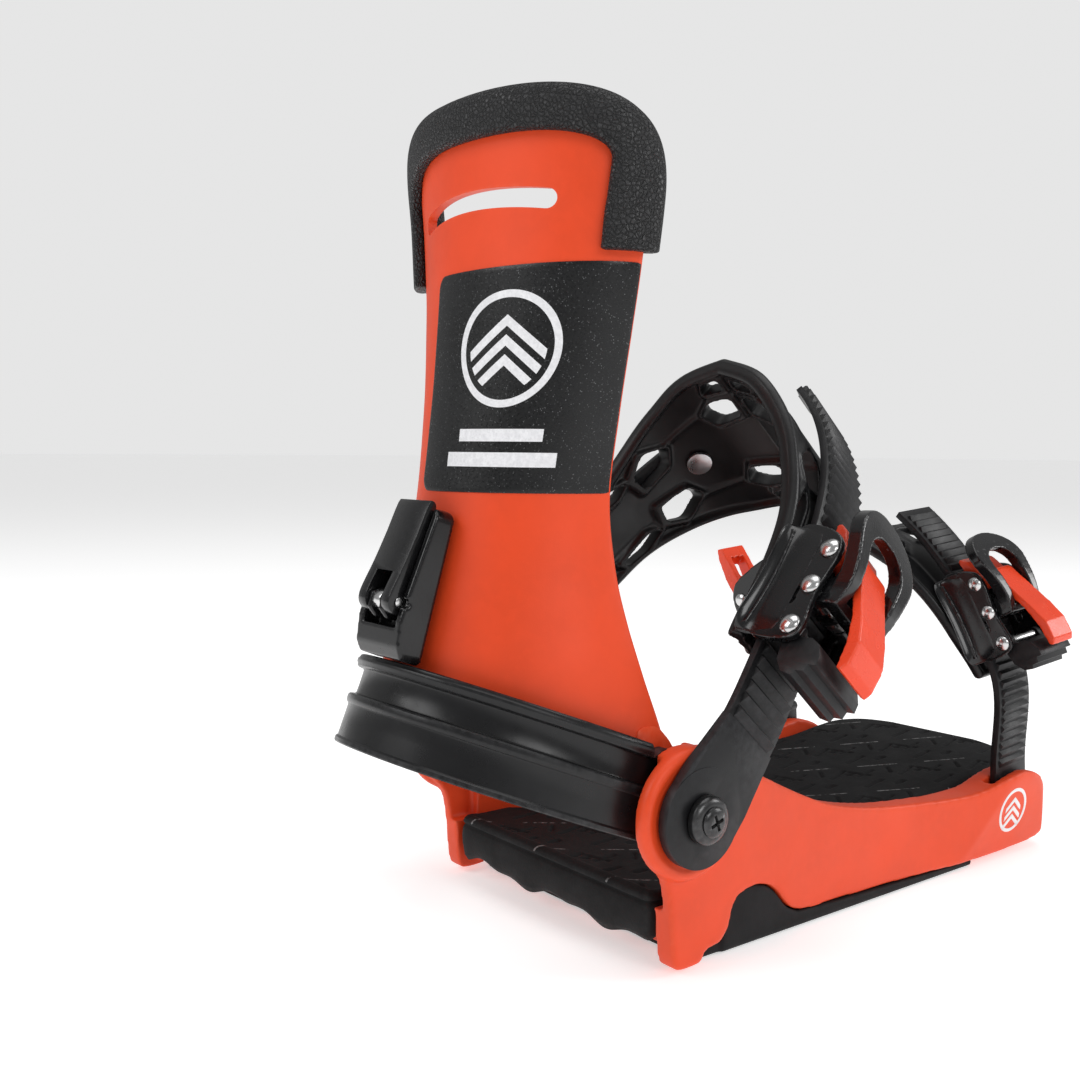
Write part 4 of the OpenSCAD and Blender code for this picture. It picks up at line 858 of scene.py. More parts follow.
def build_footbed():
    half = smooth([[47.5, -44], [48.2, 0], [48.4, 40], [48.6, 62], [47, 74], [47, 92], [45, 104], [36, 113.5], [18, 118], [0.01, 119]], 8)
    r = 1.6

    def hw(y):
        o = np.argsort(half[:, 1])
        return np.interp(y, half[o, 1], half[o, 0]) - r
    ys = np.concatenate([np.arange(-44 + r, 112.5, 0.62), 112.5 + (117.2 - 112.5) * (1 - (1 - np.linspace(0, 1, 16)) ** 1.6)])
    ys = np.unique(np.round(ys, 3))

    def top(x, y, d):
        ramp = np.interp(y, [0, 20, 60, 100, 125], [23.2, 25.0, 29.2, 33.8, 36.2])
        z = np.maximum(24.4, ramp)
        z = 0.5 * (z + np.maximum(24.4, np.interp(y - 5, [0, 20, 60, 100, 125], [23.2, 25.0, 29.2, 33.8, 36.2])))
        rr = 3.2
        return z - 0.1 - np.where(d < rr, 0.55 * (1 - np.sqrt(np.maximum(0, 1 - (1 - d / rr) ** 2))) * rr, 0)
    prof = [(0.7, lambda x, y, z: z - 0.55), (1.25, lambda x, y, z: z - 1.4), (1.6, lambda x, y, z: z - 2.6), (1.6, lambda x, y, z: 0 * z + 17), (1.5, lambda x, y, z: 0 * z + 12.4), (0.6, lambda x, y, z: 0 * z + 11.5)]
    return bed("footbed_cushion", hw, ys, top, prof, 11.42, "black_foam", "base", "toe_footbed", 150)


def build_heel_pad():
    r = 2.4

    def hw(y):
        w = np.interp(y, [-106.5, -84.5, -80.5, -45], [52.5, 52.5, 49, 49])
        # round corners at both ends
        e = np.minimum(y + 106.5, -45 - y)
        rc = 5.0
        w = w - np.where(e < rc, rc - np.sqrt(np.maximum(0, rc * rc - (rc - e) ** 2)), 0)
        return w - r
    ys = np.arange(-106.5 + r, -45 - r + 0.01, 0.6)

    def top(x, y, d):
        back = sstep(-96, -103, y)
        lip = 0.9 * np.exp(-((d - 0.6) / 1.6) ** 2) * (0.25 + 0.75 * back)
        dish = 0.35 * sstep(0, 8, d)
        return 22.3 - dish + lip * 1.0

    def wave(x, y):
        # the lower edge of the foam rises and falls along the back
        return 1.6 * np.sin(x * 0.142 + 0.6) + 0.9 * np.sin(x * 0.31 + 2.0)

    def back(y):
        return sstep(-97, -104, y)
    prof = [(0.8, lambda x, y, z: z - 0.15), (1.6, lambda x, y, z: z - 0.9), (1.95, lambda x, y, z: z - 1.9), (1.75, lambda x, y, z: z - 2.6), (1.1, lambda x, y, z: z - 3.0), (1.6, lambda x, y, z: z - 3.5), (2.1, lambda x, y, z: z - 4.6),
            (2.4, lambda x, y, z: z - 7.0), (2.2, lambda x, y, z: 12.6 + 0 * z), (1.4, lambda x, y, z: 10.6 - back(y) * (1.9 - 0.5 * wave(x, y))), (0.0, lambda x, y, z: 10.0 - back(y) * (3.3 - 0.8 * wave(x, y))), (-2.5, lambda x, y, z: 9.75 - back(y) * (2.4 - 0.8 * wave(x, y))), (-5.5, lambda x, y, z: 9.7 + 0 * z)]
    return bed("heel_cushion", hw, ys, top, prof, 9.68, "black_foam", "base", "heel_pad", 150)


# ------------------------------------------------------------------ strap pads
padA = [[55.3, 43], [54.4, 54], [54.2, 66], [54.6, 74], [53.6, 90], [50.2, 106.4], [43.8, 123], [34.5, 138.5], [19, 151.6], [0, 157.4]]
padT = [[52, 50], [49, 58], [44.6, 67], [39.5, 76], [32, 86], [22, 95.6], [10, 102], [0, 104]]


def sheet_pad(name, half_line, width, frame_of, side_windows, top_windows, membrane, bead, step, body, slot, node, extra=None, voxel=0.55, holes=(), inner=1.0, band=(1.6, 3.4)):
    """moulded strap pad: thin web, raised bead round the border and round each window"""
    L = smooth(half_line, 8)
    full = np.concatenate([L, (L * [-1, 1])[::-1][1:]])
    P = resample(full, step)
    T = np.gradient(P, axis=0)
    T /= np.linalg.norm(T, axis=1, keepdims=True)
    N = np.stack([T[:, 1], -T[:, 0]], 1)
    if N[len(N) // 4, 0] < 0:
        N = -N
    W = width(P[:, 1])
    nu = len(P)
    nv = int(round(2 * W.max() / step)) + 1
    s = np.linspace(-1, 1, nv)
    Zg = W[:, None] * s[None, :]
    X = np.broadcast_to(P[:, 0][:, None], Zg.shape)
    Y = np.broadcast_to(P[:, 1][:, None], Zg.shape)
    # distance to the border along the sheet
    arc = np.r_[0, np.cumsum(np.linalg.norm(np.diff(P, axis=0), axis=1))]
    db = np.minimum((1 - np.abs(s))[None, :] * W[:, None], np.minimum(arc, arc[-1] - arc)[:, None] + 0 * Zg)
    q_side = np.stack([Y.ravel(), Zg.ravel()], 1)
    q_top = np.stack([X.ravel(), Zg.ravel()], 1)
    dw = np.full(Zg.size, 99.0)
    for w in side_windows:
        dw = np.minimum(dw, poly_sdf(q_side, w["poly"]) + (0 if w.get("both", True) else np.where(X.ravel() * w["sign"] < 0, 99, 0)))
    for w in top_windows:
        near = np.abs(N[:, 1]) > 0.5
        dd = poly_sdf(q_top, w["poly"])
        dw = np.minimum(dw, np.where(np.repeat(near, nv), dd, 99))
    dw = dw.reshape(Zg.shape)
    h = membrane / 2
    b = bead / 2
    rise = 1 - sstep(band[0], band[1], db)
    rise_w = 0.75 * (1 - sstep(1.0, 2.8, np.maximum(dw, 0)))
    # shallow ribs that follow the pad along its length
    mid = np.exp(-((np.abs(s)[None, :] * W[:, None] - 0.5 * W[:, None]) / 1.2) ** 2) * 0.35
    up = np.maximum(np.maximum(rise, rise_w), mid)
    H = h + (b - h) * up
    if extra is not None:
        H = H * 1.0 + extra(X, Y, Zg)
    # round off at the very border
    rb = b
    edge = np.where(db < rb, np.sqrt(np.maximum(0.0, 1 - (1 - db / rb) ** 2)), 1)
    H = H * np.maximum(edge, 0.04)
    Hi = (h + (b * inner - h) * up) * np.maximum(np.where(db < rb * inner, np.sqrt(np.maximum(0.0, 1 - (1 - db / (rb * inner)) ** 2)), 1), 0.04)
    No = np.stack([np.broadcast_to(N[:, 0][:, None], Zg.shape), np.broadcast_to(N[:, 1][:, None], Zg.shape)], -1)
    A = np.stack([X + No[..., 0] * H, Y + No[..., 1] * H, Zg], -1).reshape(-1, 3)
    B = np.stack([X - No[..., 0] * Hi, Y - No[..., 1] * Hi, Zg], -1).reshape(-1, 3)
    V, F = two_sided(frame_of(A), frame_of(B), nu, nv)
    ob = make(name, V, F, body, slot, [node])
    fix_normals(ob)
    tools = []
    for w in side_windows:
        for s_ in ([1, -1] if w.get("both", True) else [w["sign"]]):
            rp = round_poly(w["poly"], w.get("r", 1.6))
            tools.append(prism(rp, 25 if not w.get("lo") else w["lo"], 80, (lambda q, s_=s_: frame_of(np.c_[s_ * q[:, 2], q[:, 0], q[:, 1]]))))
    for w in top_windows:
        rp = round_poly(w["poly"], w.get("r", 2.0))
        tools.append(prism(rp, w.get("lo", 60), 200, (lambda q: frame_of(np.c_[q[:, 0], q[:, 2], q[:, 1]]))))
    tools += [h_() for h_ in holes]
    cut(ob, tools)
    m = ob.modifiers.new("r", "REMESH")
    m.mode = "VOXEL"
    m.voxel_size = voxel * MM
    apply_mods(ob)
    soften(ob, 4)
    shade(ob, 180)
    return ob


def build_ankle_pad():
    wt = smooth([[40, 11.5], [50, 13], [64, 15.5], [90, 18], [108, 20], [124, 24.5], [140, 31], [150, 36.5], [162, 41]], 6)
    width = lambda y: np.interp(y, wt[:, 0], wt[:, 1])
    side = []
    for s in (-1, 1):
        side.append({"poly": [[96, s * 12], [112, s * 11], [118, s * 14], [108, s * 16.6], [98, s * 15]], "r": 1.8})
        side.append({"poly": [[122, s * 5], [134, s * 7], [137, s * 14], [128, s * 19], [120, s * 13]], "r": 2.4})
    top = []
    for s in (-1, 1):
        for m in (-1, 1):
            top.append({"poly": [[m * 3, s * 14], [m * 15, s * 12], [m * 19, s * 19], [m * 13, s * 24], [m * 3, s * 24]], "r": 3, "lo": 120})
            top.append({"poly": [[m * 3, s * 28], [m * 13, s * 28], [m * 11, s * 33], [m * 3, s * 33.5]], "r": 2, "lo": 120})

    def hole_lower():
        return prism([[-75, 30], [-55.8, 30], [-55.8, 72], [-75, 72]], -45, 90, lambda q: ankle_f(q))

    def hole_buckle_side():
        # the buckle side ends in a tongue under the buckle
        return prism([[20, 57.2], [20, 20], [80, 20], [80, 57.2]], -45, 45, lambda q: ankle_f(q))

    def hole_pin():
        th = np.linspace(0, 2 * math.pi, 41)[:-1]
        return prism([[aF[0] + 2.9 * math.cos(t), aF[1] + 2.9 * math.sin(t)] for t in th], -45, 45, lambda q: ankle_f(q))
    return sheet_pad("ankle_pad_moulding", padA, width, ankle_f, side, top, 3.0, 5.4, 0.8, "ankle_pad_body", "soft_black", "ankle_pad", holes=(hole_lower, hole_pin, hole_buckle_side), inner=1.75, band=(2.6, 5.2))


def build_toe_pad():
    wt = smooth([[48, 9], [56, 12], [66, 15.5], [80, 19], [92, 22.5], [100, 25], [108, 26]], 6)
    width = lambda y: np.interp(y, wt[:, 0], wt[:, 1])
    top = []
    for s in (-1, 1):
        for m in (-1, 1):
            top.append({"poly": [[m * 3, s * 5], [m * 15, s * 4], [m * 19, s * 10], [m * 13, s * 16], [m * 3, s * 17]], "r": 2.4, "lo": 80})
    return sheet_pad("toe_pad_moulding", padT, width, toe_f, [], top, 2.8, 4.9, 0.8, "toe_pad_body", "soft_black", "toe_pad", voxel=0.55)


# ------------------------------------------------------------------ materials
def nt(name):
    m = bpy.data.materials.new(name)
    m.use_nodes = True
    t = m.node_tree
    for n in list(t.nodes):
        t.nodes.remove(n)
    out = t.nodes.new("ShaderNodeOutputMaterial")
    b = t.nodes.new("ShaderNodeBsdfPrincipled")
    t.links.new(b.outputs[0], out.inputs[0])
    return m, t, b


class G:
    """small helper around a node tree"""

    def __init__(self, t):
        self.t = t
        self.tc = t.nodes.new("ShaderNodeTexCoord")

    def link(self, a, b):
        self.t.links.new(a, b)

    def noise(self, scale, detail=3, rough=0.5, vec=None, dist=0):
        n = self.t.nodes.new("ShaderNodeTexNoise")
        n.inputs["Scale"].default_value = scale
        n.inputs["Detail"].default_value = detail
        n.inputs["Roughness"].default_value = rough
        n.inputs["Distortion"].default_value = dist
        self.link(vec or self.tc.outputs["Object"], n.inputs["Vector"])
        return n.outputs["Fac"]

    def voro(self, scale, feature="F1", rnd=1, vec=None, out="Distance", smoothness=None):
        n = self.t.nodes.new("ShaderNodeTexVoronoi")
        n.feature = feature
        n.inputs["Scale"].default_value = scale
        n.inputs["Randomness"].default_value = rnd
        if smoothness is not None and "Smoothness" in n.inputs:
            n.inputs["Smoothness"].default_value = smoothness
        self.link(vec or self.tc.outputs["Object"], n.inputs["Vector"])
        return n.outputs[out]

    def math(self, op, a, b=None, c=None, clamp=False):
        n = self.t.nodes.new("ShaderNodeMath")
        n.operation = op
        n.use_clamp = clamp
        for i, v in enumerate((a, b, c)):
            if v is None:
                continue
            if isinstance(v, (int, float)):
                n.inputs[i].default_value = v
            else:
                self.link(v, n.inputs[i])
        return n.outputs[0]

    def ramp(self, fac, a, b, lo=0.0, hi=1.0):
        n = self.t.nodes.new("ShaderNodeMapRange")
        n.inputs["From Min"].default_value = a
        n.inputs["From Max"].default_value = b
        n.inputs["To Min"].default_value = lo
        n.inputs["To Max"].default_value = hi
        self.link(fac, n.inputs["Value"])
        return n.outputs[0]

    def mix(self, fac, a, b):
        n = self.t.nodes.new("ShaderNodeMix")
        n.data_type = "RGBA"
        if isinstance(fac, (int, float)):
            n.inputs[0].default_value = fac
        else:
            self.link(fac, n.inputs[0])
        for v, i in ((a, 6), (b, 7)):
            if isinstance(v, (tuple, list)):
                n.inputs[i].default_value = (*v[:3], 1)
            else:
                self.link(v, n.inputs[i])
        return n.outputs[2]

    def bump(self, height, strength, dist, normal=None):
        n = self.t.nodes.new("ShaderNodeBump")
        n.inputs["Strength"].default_value = strength
        n.inputs["Distance"].default_value = dist
        self.link(height, n.inputs["Height"])
        if normal is not None:
            self.link(normal, n.inputs["Normal"])
        return n.outputs[0]

    def edges(self, lo=0.51, hi=0.58):
        n = self.t.nodes.new("ShaderNodeNewGeometry")
        return self.ramp(n.outputs["Pointiness"], lo, hi)


def scale3(c, k):
    return tuple(min(1, v * k) for v in c)


def basic(name, base, rough, metal=0.0, coat=0.0, coat_r=0.1, spec=0.5, grain=2600, grain_h=0.00004, grain_s=0.35, var=0.12, wear=0.0, wear_col=None, scratch=0.0, rough_var=0.08, dust=0.0, aniso=0.0):
    m, t, b = nt(name)
    g = G(t)
    big = g.noise(38, 4, 0.55)
    mid = g.noise(260, 3, 0.5)
    col = g.mix(g.ramp(big, 0.35, 0.65), scale3(base, 1 - var), scale3(base, 1 + var))
    col = g.mix(g.ramp(mid, 0.45, 0.75, 0, 0.35), col, scale3(base, 1 + var * 1.6))
    if dust > 0:
        fine = g.noise(1500, 2, 0.6)
        col = g.mix(g.ramp(fine, 0.62, 0.8, 0, dust), col, scale3(base, 2.2))
    if wear > 0:
        e = g.edges(0.515, 0.60)
        brk = g.ramp(g.noise(420, 4, 0.6), 0.35, 0.7)
        col = g.mix(g.math("MULTIPLY", g.math("MULTIPLY", e, brk), wear), col, wear_col or scale3(base, 2.0))
    t.links.new(col, b.inputs["Base Color"])
    r = g.ramp(g.noise(90, 4, 0.6), 0.3, 0.7, max(0.02, rough - rough_var), min(1, rough + rough_var))
    if scratch > 0:
        mp = t.nodes.new("ShaderNodeMapping")
        mp.inputs["Scale"].default_value = (1, 14, 1)
        mp.inputs["Rotation"].default_value = (0.4, 0.3, 0.7)
        t.links.new(g.tc.outputs["Object"], mp.inputs["Vector"])
        sc = g.ramp(g.noise(240, 2, 0.5, vec=mp.outputs[0]), 0.66, 0.72, 0, scratch)
        r = g.math("ADD", r, sc, clamp=True)
    t.links.new(r, b.inputs["Roughness"])
    b.inputs["Metallic"].default_value = metal
    b.inputs["Coat Weight"].default_value = coat
    b.inputs["Coat Roughness"].default_value = coat_r
    b.inputs["Specular IOR Level"].default_value = spec
    if aniso:
        b.inputs["Anisotropic"].default_value = aniso
    n1 = g.bump(g.noise(grain, 2, 0.6), grain_s, grain_h)
    n2 = g.bump(g.noise(150, 2, 0.5), 0.12, 0.0002, n1)
    t.links.new(n2, b.inputs["Normal"])
    return m, t, b, g


MATS = {}


def materials():
    M = MATS
    M["orange_plastic"] = basic("orange_plastic", (0.75, 0.064, 0.014), 0.44, spec=0.32, grain=2300, grain_h=0.00006, grain_s=0.5, var=0.05, wear=0.45, wear_col=(0.86, 0.2, 0.1), dust=0.05, rough_var=0.05)[0]
    M["orange_smooth"] = basic("orange_smooth", (0.78, 0.055, 0.013), 0.28, spec=0.42, grain=2600, grain_h=0.00002, grain_s=0.25, var=0.05, wear=0.4, wear_col=(0.88, 0.22, 0.12), rough_var=0.06)[0]
    M["black_plastic"] = basic("black_plastic", (0.0085, 0.0085, 0.0094), 0.42, spec=0.28, grain=2600, grain_h=0.00005, grain_s=0.4, var=0.16, wear=0.35, wear_col=(0.055, 0.055, 0.06), dust=0.1)[0]
    M["black_gloss"] = basic("black_gloss", (0.005, 0.005, 0.0055), 0.22, spec=0.3, coat=0.25, coat_r=0.08, grain=900, grain_h=0.00003, grain_s=0.12, var=0.1, wear=0.3, wear_col=(0.06, 0.06, 0.065), scratch=0.12, rough_var=0.05)[0]
    M["black_alloy"] = basic("black_alloy", (0.0065, 0.0065, 0.0072), 0.3, spec=0.36, grain=3000, grain_h=0.00003, grain_s=0.3, var=0.12, wear=0.5, wear_col=(0.13, 0.13, 0.135), scratch=0.12, rough_var=0.05)[0]
    M["black_alloy_gloss"] = basic("black_alloy_gloss", (0.0055, 0.0055, 0.0062), 0.2, spec=0.36, coat=0.3, coat_r=0.12, grain=1200, grain_h=0.00003, grain_s=0.15, var=0.1, wear=0.55, wear_col=(0.16, 0.16, 0.165), scratch=0.14)[0]
    M["black_rubber"] = basic("black_rubber", (0.008, 0.008, 0.0087), 0.68, spec=0.22, grain=1700, grain_h=0.0001, grain_s=0.5, var=0.2, wear=0.3, wear_col=(0.06, 0.058, 0.055), dust=0.22)[0]
    M["soft_black"] = basic("soft_black", (0.007, 0.007, 0.0077), 0.38, spec=0.32, grain=1900, grain_h=0.00005, grain_s=0.35, var=0.14, wear=0.35, wear_col=(0.075, 0.075, 0.08), dust=0.12)[0]
    M["chrome_steel"] = basic("chrome_steel", (0.6, 0.6, 0.6), 0.24, metal=1, grain=700, grain_h=0.00003, grain_s=0.15, var=0.06, scratch=0.25, rough_var=0.06)[0]
    M["white_mark"] = basic("white_mark", (0.78, 0.78, 0.79), 0.45, grain=2400, grain_h=0.00003, grain_s=0.3, var=0.04)[0]
    M["zinc_steel"] = basic("zinc_steel", (0.55, 0.55, 0.56), 0.32, metal=1, grain=900, grain_h=0.00003, grain_s=0.2, var=0.1, scratch=0.25)[0]
    M["black_steel"] = basic("black_steel", (0.02, 0.02, 0.021), 0.3, metal=0.6, coat=0.3, coat_r=0.2, grain=1500, grain_h=0.00003, grain_s=0.2, var=0.15, wear=0.6, wear_col=(0.3, 0.3, 0.3), scratch=0.2)[0]
    # moulded foam with its fine pale lines
    m, t, b, g = basic("black_foam", (0.009, 0.009, 0.0095), 0.72, spec=0.22, grain=1100, grain_h=0.00018, grain_s=0.6, var=0.2, wear=0.25, wear_col=(0.075, 0.075, 0.075), dust=0.3)
    M["black_foam"] = m
    sep = t.nodes.new("ShaderNodeSeparateXYZ")
    t.links.new(g.tc.outputs["Object"], sep.inputs[0])
    e1 = (math.cos(math.radians(52)), math.sin(math.radians(52)))
    p = g.math("ADD", g.math("MULTIPLY", sep.outputs[0], e1[0] * 1000), g.math("MULTIPLY", sep.outputs[1], e1[1] * 1000))
    q = g.math("ADD", g.math("MULTIPLY", sep.outputs[0], -e1[1] * 1000), g.math("MULTIPLY", sep.outputs[1], e1[0] * 1000))
    pc = g.math("SUBTRACT", g.math("FLOORED_MODULO", g.math("ADD", p, 14), 28), 14)
    qc = g.math("SUBTRACT", g.math("FLOORED_MODULO", g.math("ADD", q, 15), 30), 15)
    ln = g.math("MULTIPLY", g.math("LESS_THAN", g.math("ABSOLUTE", pc), 8.4), g.math("LESS_THAN", g.math("ABSOLUTE", qc), 0.34))
    ln = g.math("MULTIPLY", ln, g.math("GREATER_THAN", sep.outputs[2], 0.0212))
    brk = g.ramp(g.noise(500, 3, 0.6), 0.4, 0.6)
    old = b.inputs["Base Color"].links[0].from_socket
    t.links.new(g.mix(g.math("MULTIPLY", g.math("MULTIPLY", ln, brk), 0.6), old, (0.42, 0.42, 0.42)), b.inputs["Base Color"])
    # pebble-grained skin, with painted shade in its creases and painted highlight on its pebble tops
    m, t, b = nt("grained_foam")
    g = G(t)
    warp = t.nodes.new("ShaderNodeVectorMath")
    warp.operation = "MULTIPLY_ADD"
    wn = t.nodes.new("ShaderNodeTexNoise")
    wn.inputs["Scale"].default_value = 320
    t.links.new(g.tc.outputs["Object"], wn.inputs["Vector"])
    t.links.new(wn.outputs["Color"], warp.inputs[0])
    warp.inputs[1].default_value = (0.0007, 0.0007, 0.0007)
    t.links.new(g.tc.outputs["Object"], warp.inputs[2])
    cell = g.voro(740, "DISTANCE_TO_EDGE", 1, vec=warp.outputs[0])
    peb = g.ramp(cell, 0.0, 0.3)
    peb = g.math("POWER", peb, 0.55)
    # the pebble pattern is the skin's grain; its darker creases are painted shade and its paler pebble tops are
    # painted highlight
    col = g.mix(peb, (0.004, 0.004, 0.0045), (0.019, 0.019, 0.0205))
    col = g.mix(g.ramp(g.noise(40, 4, 0.6), 0.35, 0.7, 0, 0.35), col, (0.012, 0.012, 0.013))
    col = g.mix(g.math("MULTIPLY", g.edges(0.515, 0.58), 0.35), col, (0.07, 0.07, 0.075))
    t.links.new(col, b.inputs["Base Color"])
    r = g.ramp(peb, 0, 1, 0.68, 0.4)
    t.links.new(r, b.inputs["Roughness"])
    b.inputs["Specular IOR Level"].default_value = 0.42
    n1 = g.bump(peb, 1.0, 0.0008)
    n2 = g.bump(g.noise(3000, 2, 0.6), 0.25, 0.00004, n1)
    t.links.new(n2, b.inputs["Normal"])
    M["grained_foam"] = m
    # speckled panel with a plain pale mark: a ring, three peaks and two bars
    m, t, b = nt("black_speckle")
    g = G(t)
    base = g.mix(g.ramp(g.noise(45, 3, 0.5), 0.35, 0.65), (0.004, 0.0042, 0.0046), (0.0075, 0.0078, 0.0084))
    sp = g.ramp(g.voro(1500, "F1", 1), 0.12, 0.3, 1, 0)
    sp = g.math("MULTIPLY", sp, g.ramp(g.noise(900, 2, 0.6), 0.5, 0.62))
    base = g.mix(g.math("MULTIPLY", sp, 0.8), base, (0.2, 0.205, 0.21))
    at = t.nodes.new("ShaderNodeAttribute")
    at.attribute_name = "mark_pos"
    s = t.nodes.new("ShaderNodeSeparateXYZ")
    t.links.new(at.outputs["Vector"], s.inputs[0])
    x, y = s.outputs[0], s.outputs[1]
    yy = g.math("SUBTRACT", y, 9.5)
    rad = g.math("SQRT", g.math("ADD", g.math("MULTIPLY", x, x), g.math("MULTIPLY", yy, yy)))
    ring = g.math("LESS_THAN", g.math("ABSOLUTE", g.math("SUBTRACT", rad, 16.6)), 1.15)
    inside = g.math("LESS_THAN", rad, 13.4)

    def chevron(c, k, w):
        v = g.math("SUBTRACT", g.math("ADD", yy, g.math("MULTIPLY", g.math("ABSOLUTE", x), k)), c)
        return g.math("LESS_THAN", g.math("ABSOLUTE", v), w)
    ch = g.math("MAXIMUM", g.math("MAXIMUM", chevron(8.6, 0.8, 1.7), chevron(2.6, 0.8, 1.7)), chevron(-3.4, 0.8, 1.7))
    ch = g.math("MULTIPLY", ch, inside)

    def bar(yc, hw, hh):
        a = g.math("LESS_THAN", g.math("ABSOLUTE", x), hw)
        return g.math("MULTIPLY", a, g.math("LESS_THAN", g.math("ABSOLUTE", g.math("SUBTRACT", y, yc)), hh))
    bars = g.math("MAXIMUM", bar(-16.6, 15.5, 1.9), bar(-24.0, 20.5, 2.2))
    mark = g.math("MAXIMUM", g.math("MAXIMUM", ring, ch), bars)
    white = g.mix(g.ramp(g.noise(700, 3, 0.6), 0.4, 0.7), (0.72, 0.72, 0.74), (0.84, 0.84, 0.86))
    t.links.new(g.mix(mark, base, white), b.inputs["Base Color"])
    rr = g.ramp(g.noise(1400, 2, 0.6), 0.35, 0.65, 0.24, 0.46)
    t.links.new(rr, b.inputs["Roughness"])
    b.inputs["Specular IOR Level"].default_value = 0.36
    n1 = g.bump(g.noise(1700, 2, 0.6), 0.55, 0.00006)
    n2 = g.bump(mark, 0.4, 0.00005, n1)
    t.links.new(n2, b.inputs["Normal"])
    M["black_speckle"] = m


# ------------------------------------------------------------------ build all
PIECES = []


def add(ob, mat=None):
    slot = ob["want_slot"]
    ob.data.materials.clear()
    ob.data.materials.append(MATS[mat or slot])
    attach(ob, ob["want_body"])
    del ob["want_slot"], ob["want_body"]
    PIECES.append(ob)
    return ob


materials()
add(build_shell())
add(build_wings())
rim = add(build_rim())
panel, panel_w = build_panel()
add(panel)
add(build_hoop_final())
foot = add(build_footbed())
heel = add(build_heel_pad())
apad = add(build_ankle_pad())
tpad = add(build_toe_pad())

base = add(moulded("base_frame", "base_moulding", "orange_plastic", 0.8, 6))
add(build_badges(base))
add(moulded("base_gasket", "base_shock_pads", "black_rubber", 0.9, 3))
add(bevelled("mounting_disc", "mounting_disc_body", "black_plastic", 0.4))
add(bevelled("hub_barrel_nuts", "hub_nuts", "black_steel", 0.3))
add(bevelled("hub_washers", "hub_domed_washers", "black_steel", 0.25))
add(bevelled("hub_screws", "hub_cross_screws", "black_steel", 0.2))
add(bevelled("hoop_screws", "hoop_fixing_screws", "black_steel", 0.2))
add(moulded("lean_block", "lean_block_moulding", "black_gloss", 0.45, 4))
add(bevelled("lean_lever", "lean_lever_moulding", "black_gloss", 0.5))
add(bevelled("lean_lever_pin", "lean_pin", "chrome_steel", 0.3))
add(bevelled("lean_clamp_plate", "lean_plate", "zinc_steel", 0.25))
add(bevelled("lean_clamp_screw", "lean_screw", "zinc_steel", 0.25))
add(bevelled("ankle_ladder", "ankle_toothed_strap", "black_plastic", 0.3))
add(bevelled("ankle_strap_lower", "ankle_lower_strap", "black_plastic", 0.5))
add(bevelled("ankle_strap_upper", "ankle_upper_strap", "black_plastic", 0.4))
add(bevelled("ankle_length_nut", "ankle_tee_nut", "zinc_steel", 0.3))
add(bevelled("ankle_length_screw", "ankle_tee_screw", "zinc_steel", 0.3))
add(bevelled("toe_ladder", "toe_toothed_strap", "black_plastic", 0.3))
add(bevelled("toe_strap_root", "toe_root_strap", "black_plastic", 0.4))
add(bevelled("toe_strap_connector", "toe_connector_strap", "black_plastic", 0.3))
add(bevelled("toe_pivot_screws", "toe_cross_screws", "black_steel", 0.2))
add(moulded("toe_adjuster_housing", "toe_adjuster_body", "black_gloss", 0.45, 5))
add(moulded("toe_adjuster_clip", "toe_flip_clip", "orange_plastic", 0.35, 4), "orange_smooth")
add(bevelled("toe_adjuster_pin", "toe_clip_pin", "chrome_steel", 0.25))
for k, v in (("ankle", 0.4), ("toe", 0.36)):
    add(moulded(k + "_buckle_frame", k + "_buckle_cheeks", "black_alloy_gloss", v, 4))
    add(build_skirts(k, ankle_b if k == "ankle" else toe_b, 5.3 if k == "ankle" else 6.0, 121.0 if k == "ankle" else 149.0))
    add(bevelled(k + "_buckle_nose", k + "_buckle_guide", "black_plastic", 0.4))
    add(bevelled(k + "_buckle_rivets", k + "_domed_rivets", "chrome_steel", 0.3))
    add(bevelled(k + "_buckle_screws", k + "_base_screws", "zinc_steel", 0.25))
    add(moulded(k + "_ratchet_lever", k + "_loop_lever", "black_alloy_gloss", v, 4))
    add(bevelled(k + "_drive_pawl", k + "_drive_tooth", "black_steel", 0.2))
    add(moulded(k + "_release_lever", k + "_release_paddle", "orange_plastic", v, 4), "orange_smooth")
    add(bevelled(k + "_holding_pawl", k + "_holding_tooth", "black_steel", 0.2))


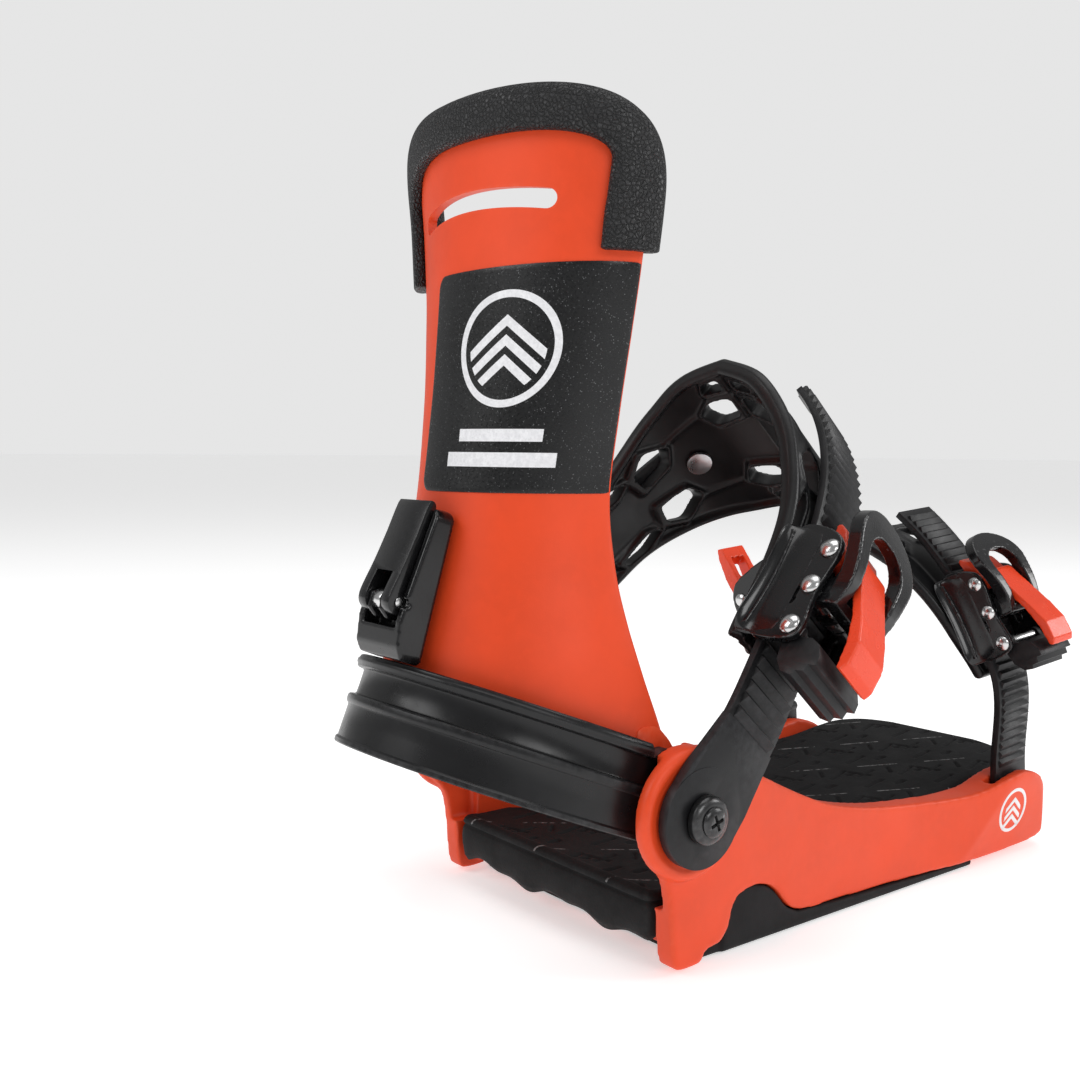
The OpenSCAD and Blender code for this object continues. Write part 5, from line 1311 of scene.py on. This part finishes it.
# ------------------------------------------------------------------ stage, light, camera
def stage():
    me = bpy.data.meshes.new("floor")
    bm = bmesh.new()
    bmesh.ops.create_grid(bm, x_segments=8, y_segments=8, size=30)
    bm.to_mesh(me)
    bm.free()
    fl = bpy.data.objects.new("floor", me)
    fl.location = (0, 0, -0.0006)
    scene.collection.objects.link(fl)
    m, t, b = nt("floor")
    b.inputs["Base Color"].default_value = (0.86, 0.86, 0.86, 1)
    b.inputs["Roughness"].default_value = 0.85
    b.inputs["Specular IOR Level"].default_value = 0.2
    b.inputs["Emission Color"].default_value = (1, 1, 1, 1)
    b.inputs["Emission Strength"].default_value = 0.47
    me.materials.append(m)
    w = bpy.data.worlds.new("w")
    scene.world = w
    w.use_nodes = True
    bg = w.node_tree.nodes.get("Background") or w.node_tree.nodes.new("ShaderNodeBackground")
    bg.inputs[0].default_value = (1, 1, 1, 1)
    # the backdrop reads white while the room's own light stays soft and low
    lp = w.node_tree.nodes.new("ShaderNodeLightPath")
    mr = w.node_tree.nodes.new("ShaderNodeMapRange")
    mr.inputs["To Min"].default_value = 0.34
    mr.inputs["To Max"].default_value = 0.79
    w.node_tree.links.new(lp.outputs["Is Camera Ray"], mr.inputs["Value"])
    w.node_tree.links.new(mr.outputs[0], bg.inputs[1])

    def area(name, loc, target, size, power, size_y=None):
        L = bpy.data.lights.new(name, "AREA")
        L.energy = power
        L.shape = "RECTANGLE"
        L.size = size
        L.size_y = size_y or size
        o = bpy.data.objects.new(name, L)
        o.location = loc
        o.rotation_mode = "QUATERNION"
        o.rotation_quaternion = (Vector(target) - Vector(loc)).to_track_quat("-Z", "Y")
        scene.collection.objects.link(o)
    area("key", (-0.5, -1.3, 1.1), (0, -0.05, 0.12), 0.9, 9)
    area("side", (1.5, -0.3, 0.9), (0, 0, 0.1), 0.8, 6.5, 0.5)
    area("top", (0.1, 0.2, 1.6), (0, 0, 0.1), 1.2, 8.5)
    area("rim_light", (0.9, 1.2, 0.7), (0, 0, 0.12), 0.6, 7)


def camera():
    C = np.array([321.2453, -359.6006, 159.8363])
    az, el, roll = (math.radians(v) for v in (52.09847, 4.18610, 0.39837))
    fwd = np.array([-math.sin(az) * math.cos(el), math.cos(az) * math.cos(el), -math.sin(el)])
    right = np.cross(fwd, [0, 0, 1])
    right /= np.linalg.norm(right)
    up = np.cross(right, fwd)
    r = right * math.cos(roll) + up * math.sin(roll)
    u = -right * math.sin(roll) + up * math.cos(roll)
    cam = bpy.data.cameras.new("cam")
    cam.sensor_width = 36
    cam.lens = 36 * 1219.843 / 1080
    cam.clip_start = 0.01
    cam.clip_end = 200
    o = bpy.data.objects.new("cam", cam)
    scene.collection.objects.link(o)
    o.matrix_world = Matrix(((r[0], u[0], -fwd[0], C[0] * MM), (r[1], u[1], -fwd[1], C[1] * MM), (r[2], u[2], -fwd[2], C[2] * MM), (0, 0, 0, 1)))
    scene.camera = o


stage()
camera()
scene.view_settings.view_transform = "Standard"

# anything of the frame that still shows wears a plain black
for n, o in NODES.items():
    if not o.hide_render:
        o.data.materials.clear()
        o.data.materials.append(MATS["black_plastic"])
        o.data.polygons.foreach_set("use_smooth", [True] * len(o.data.polygons))
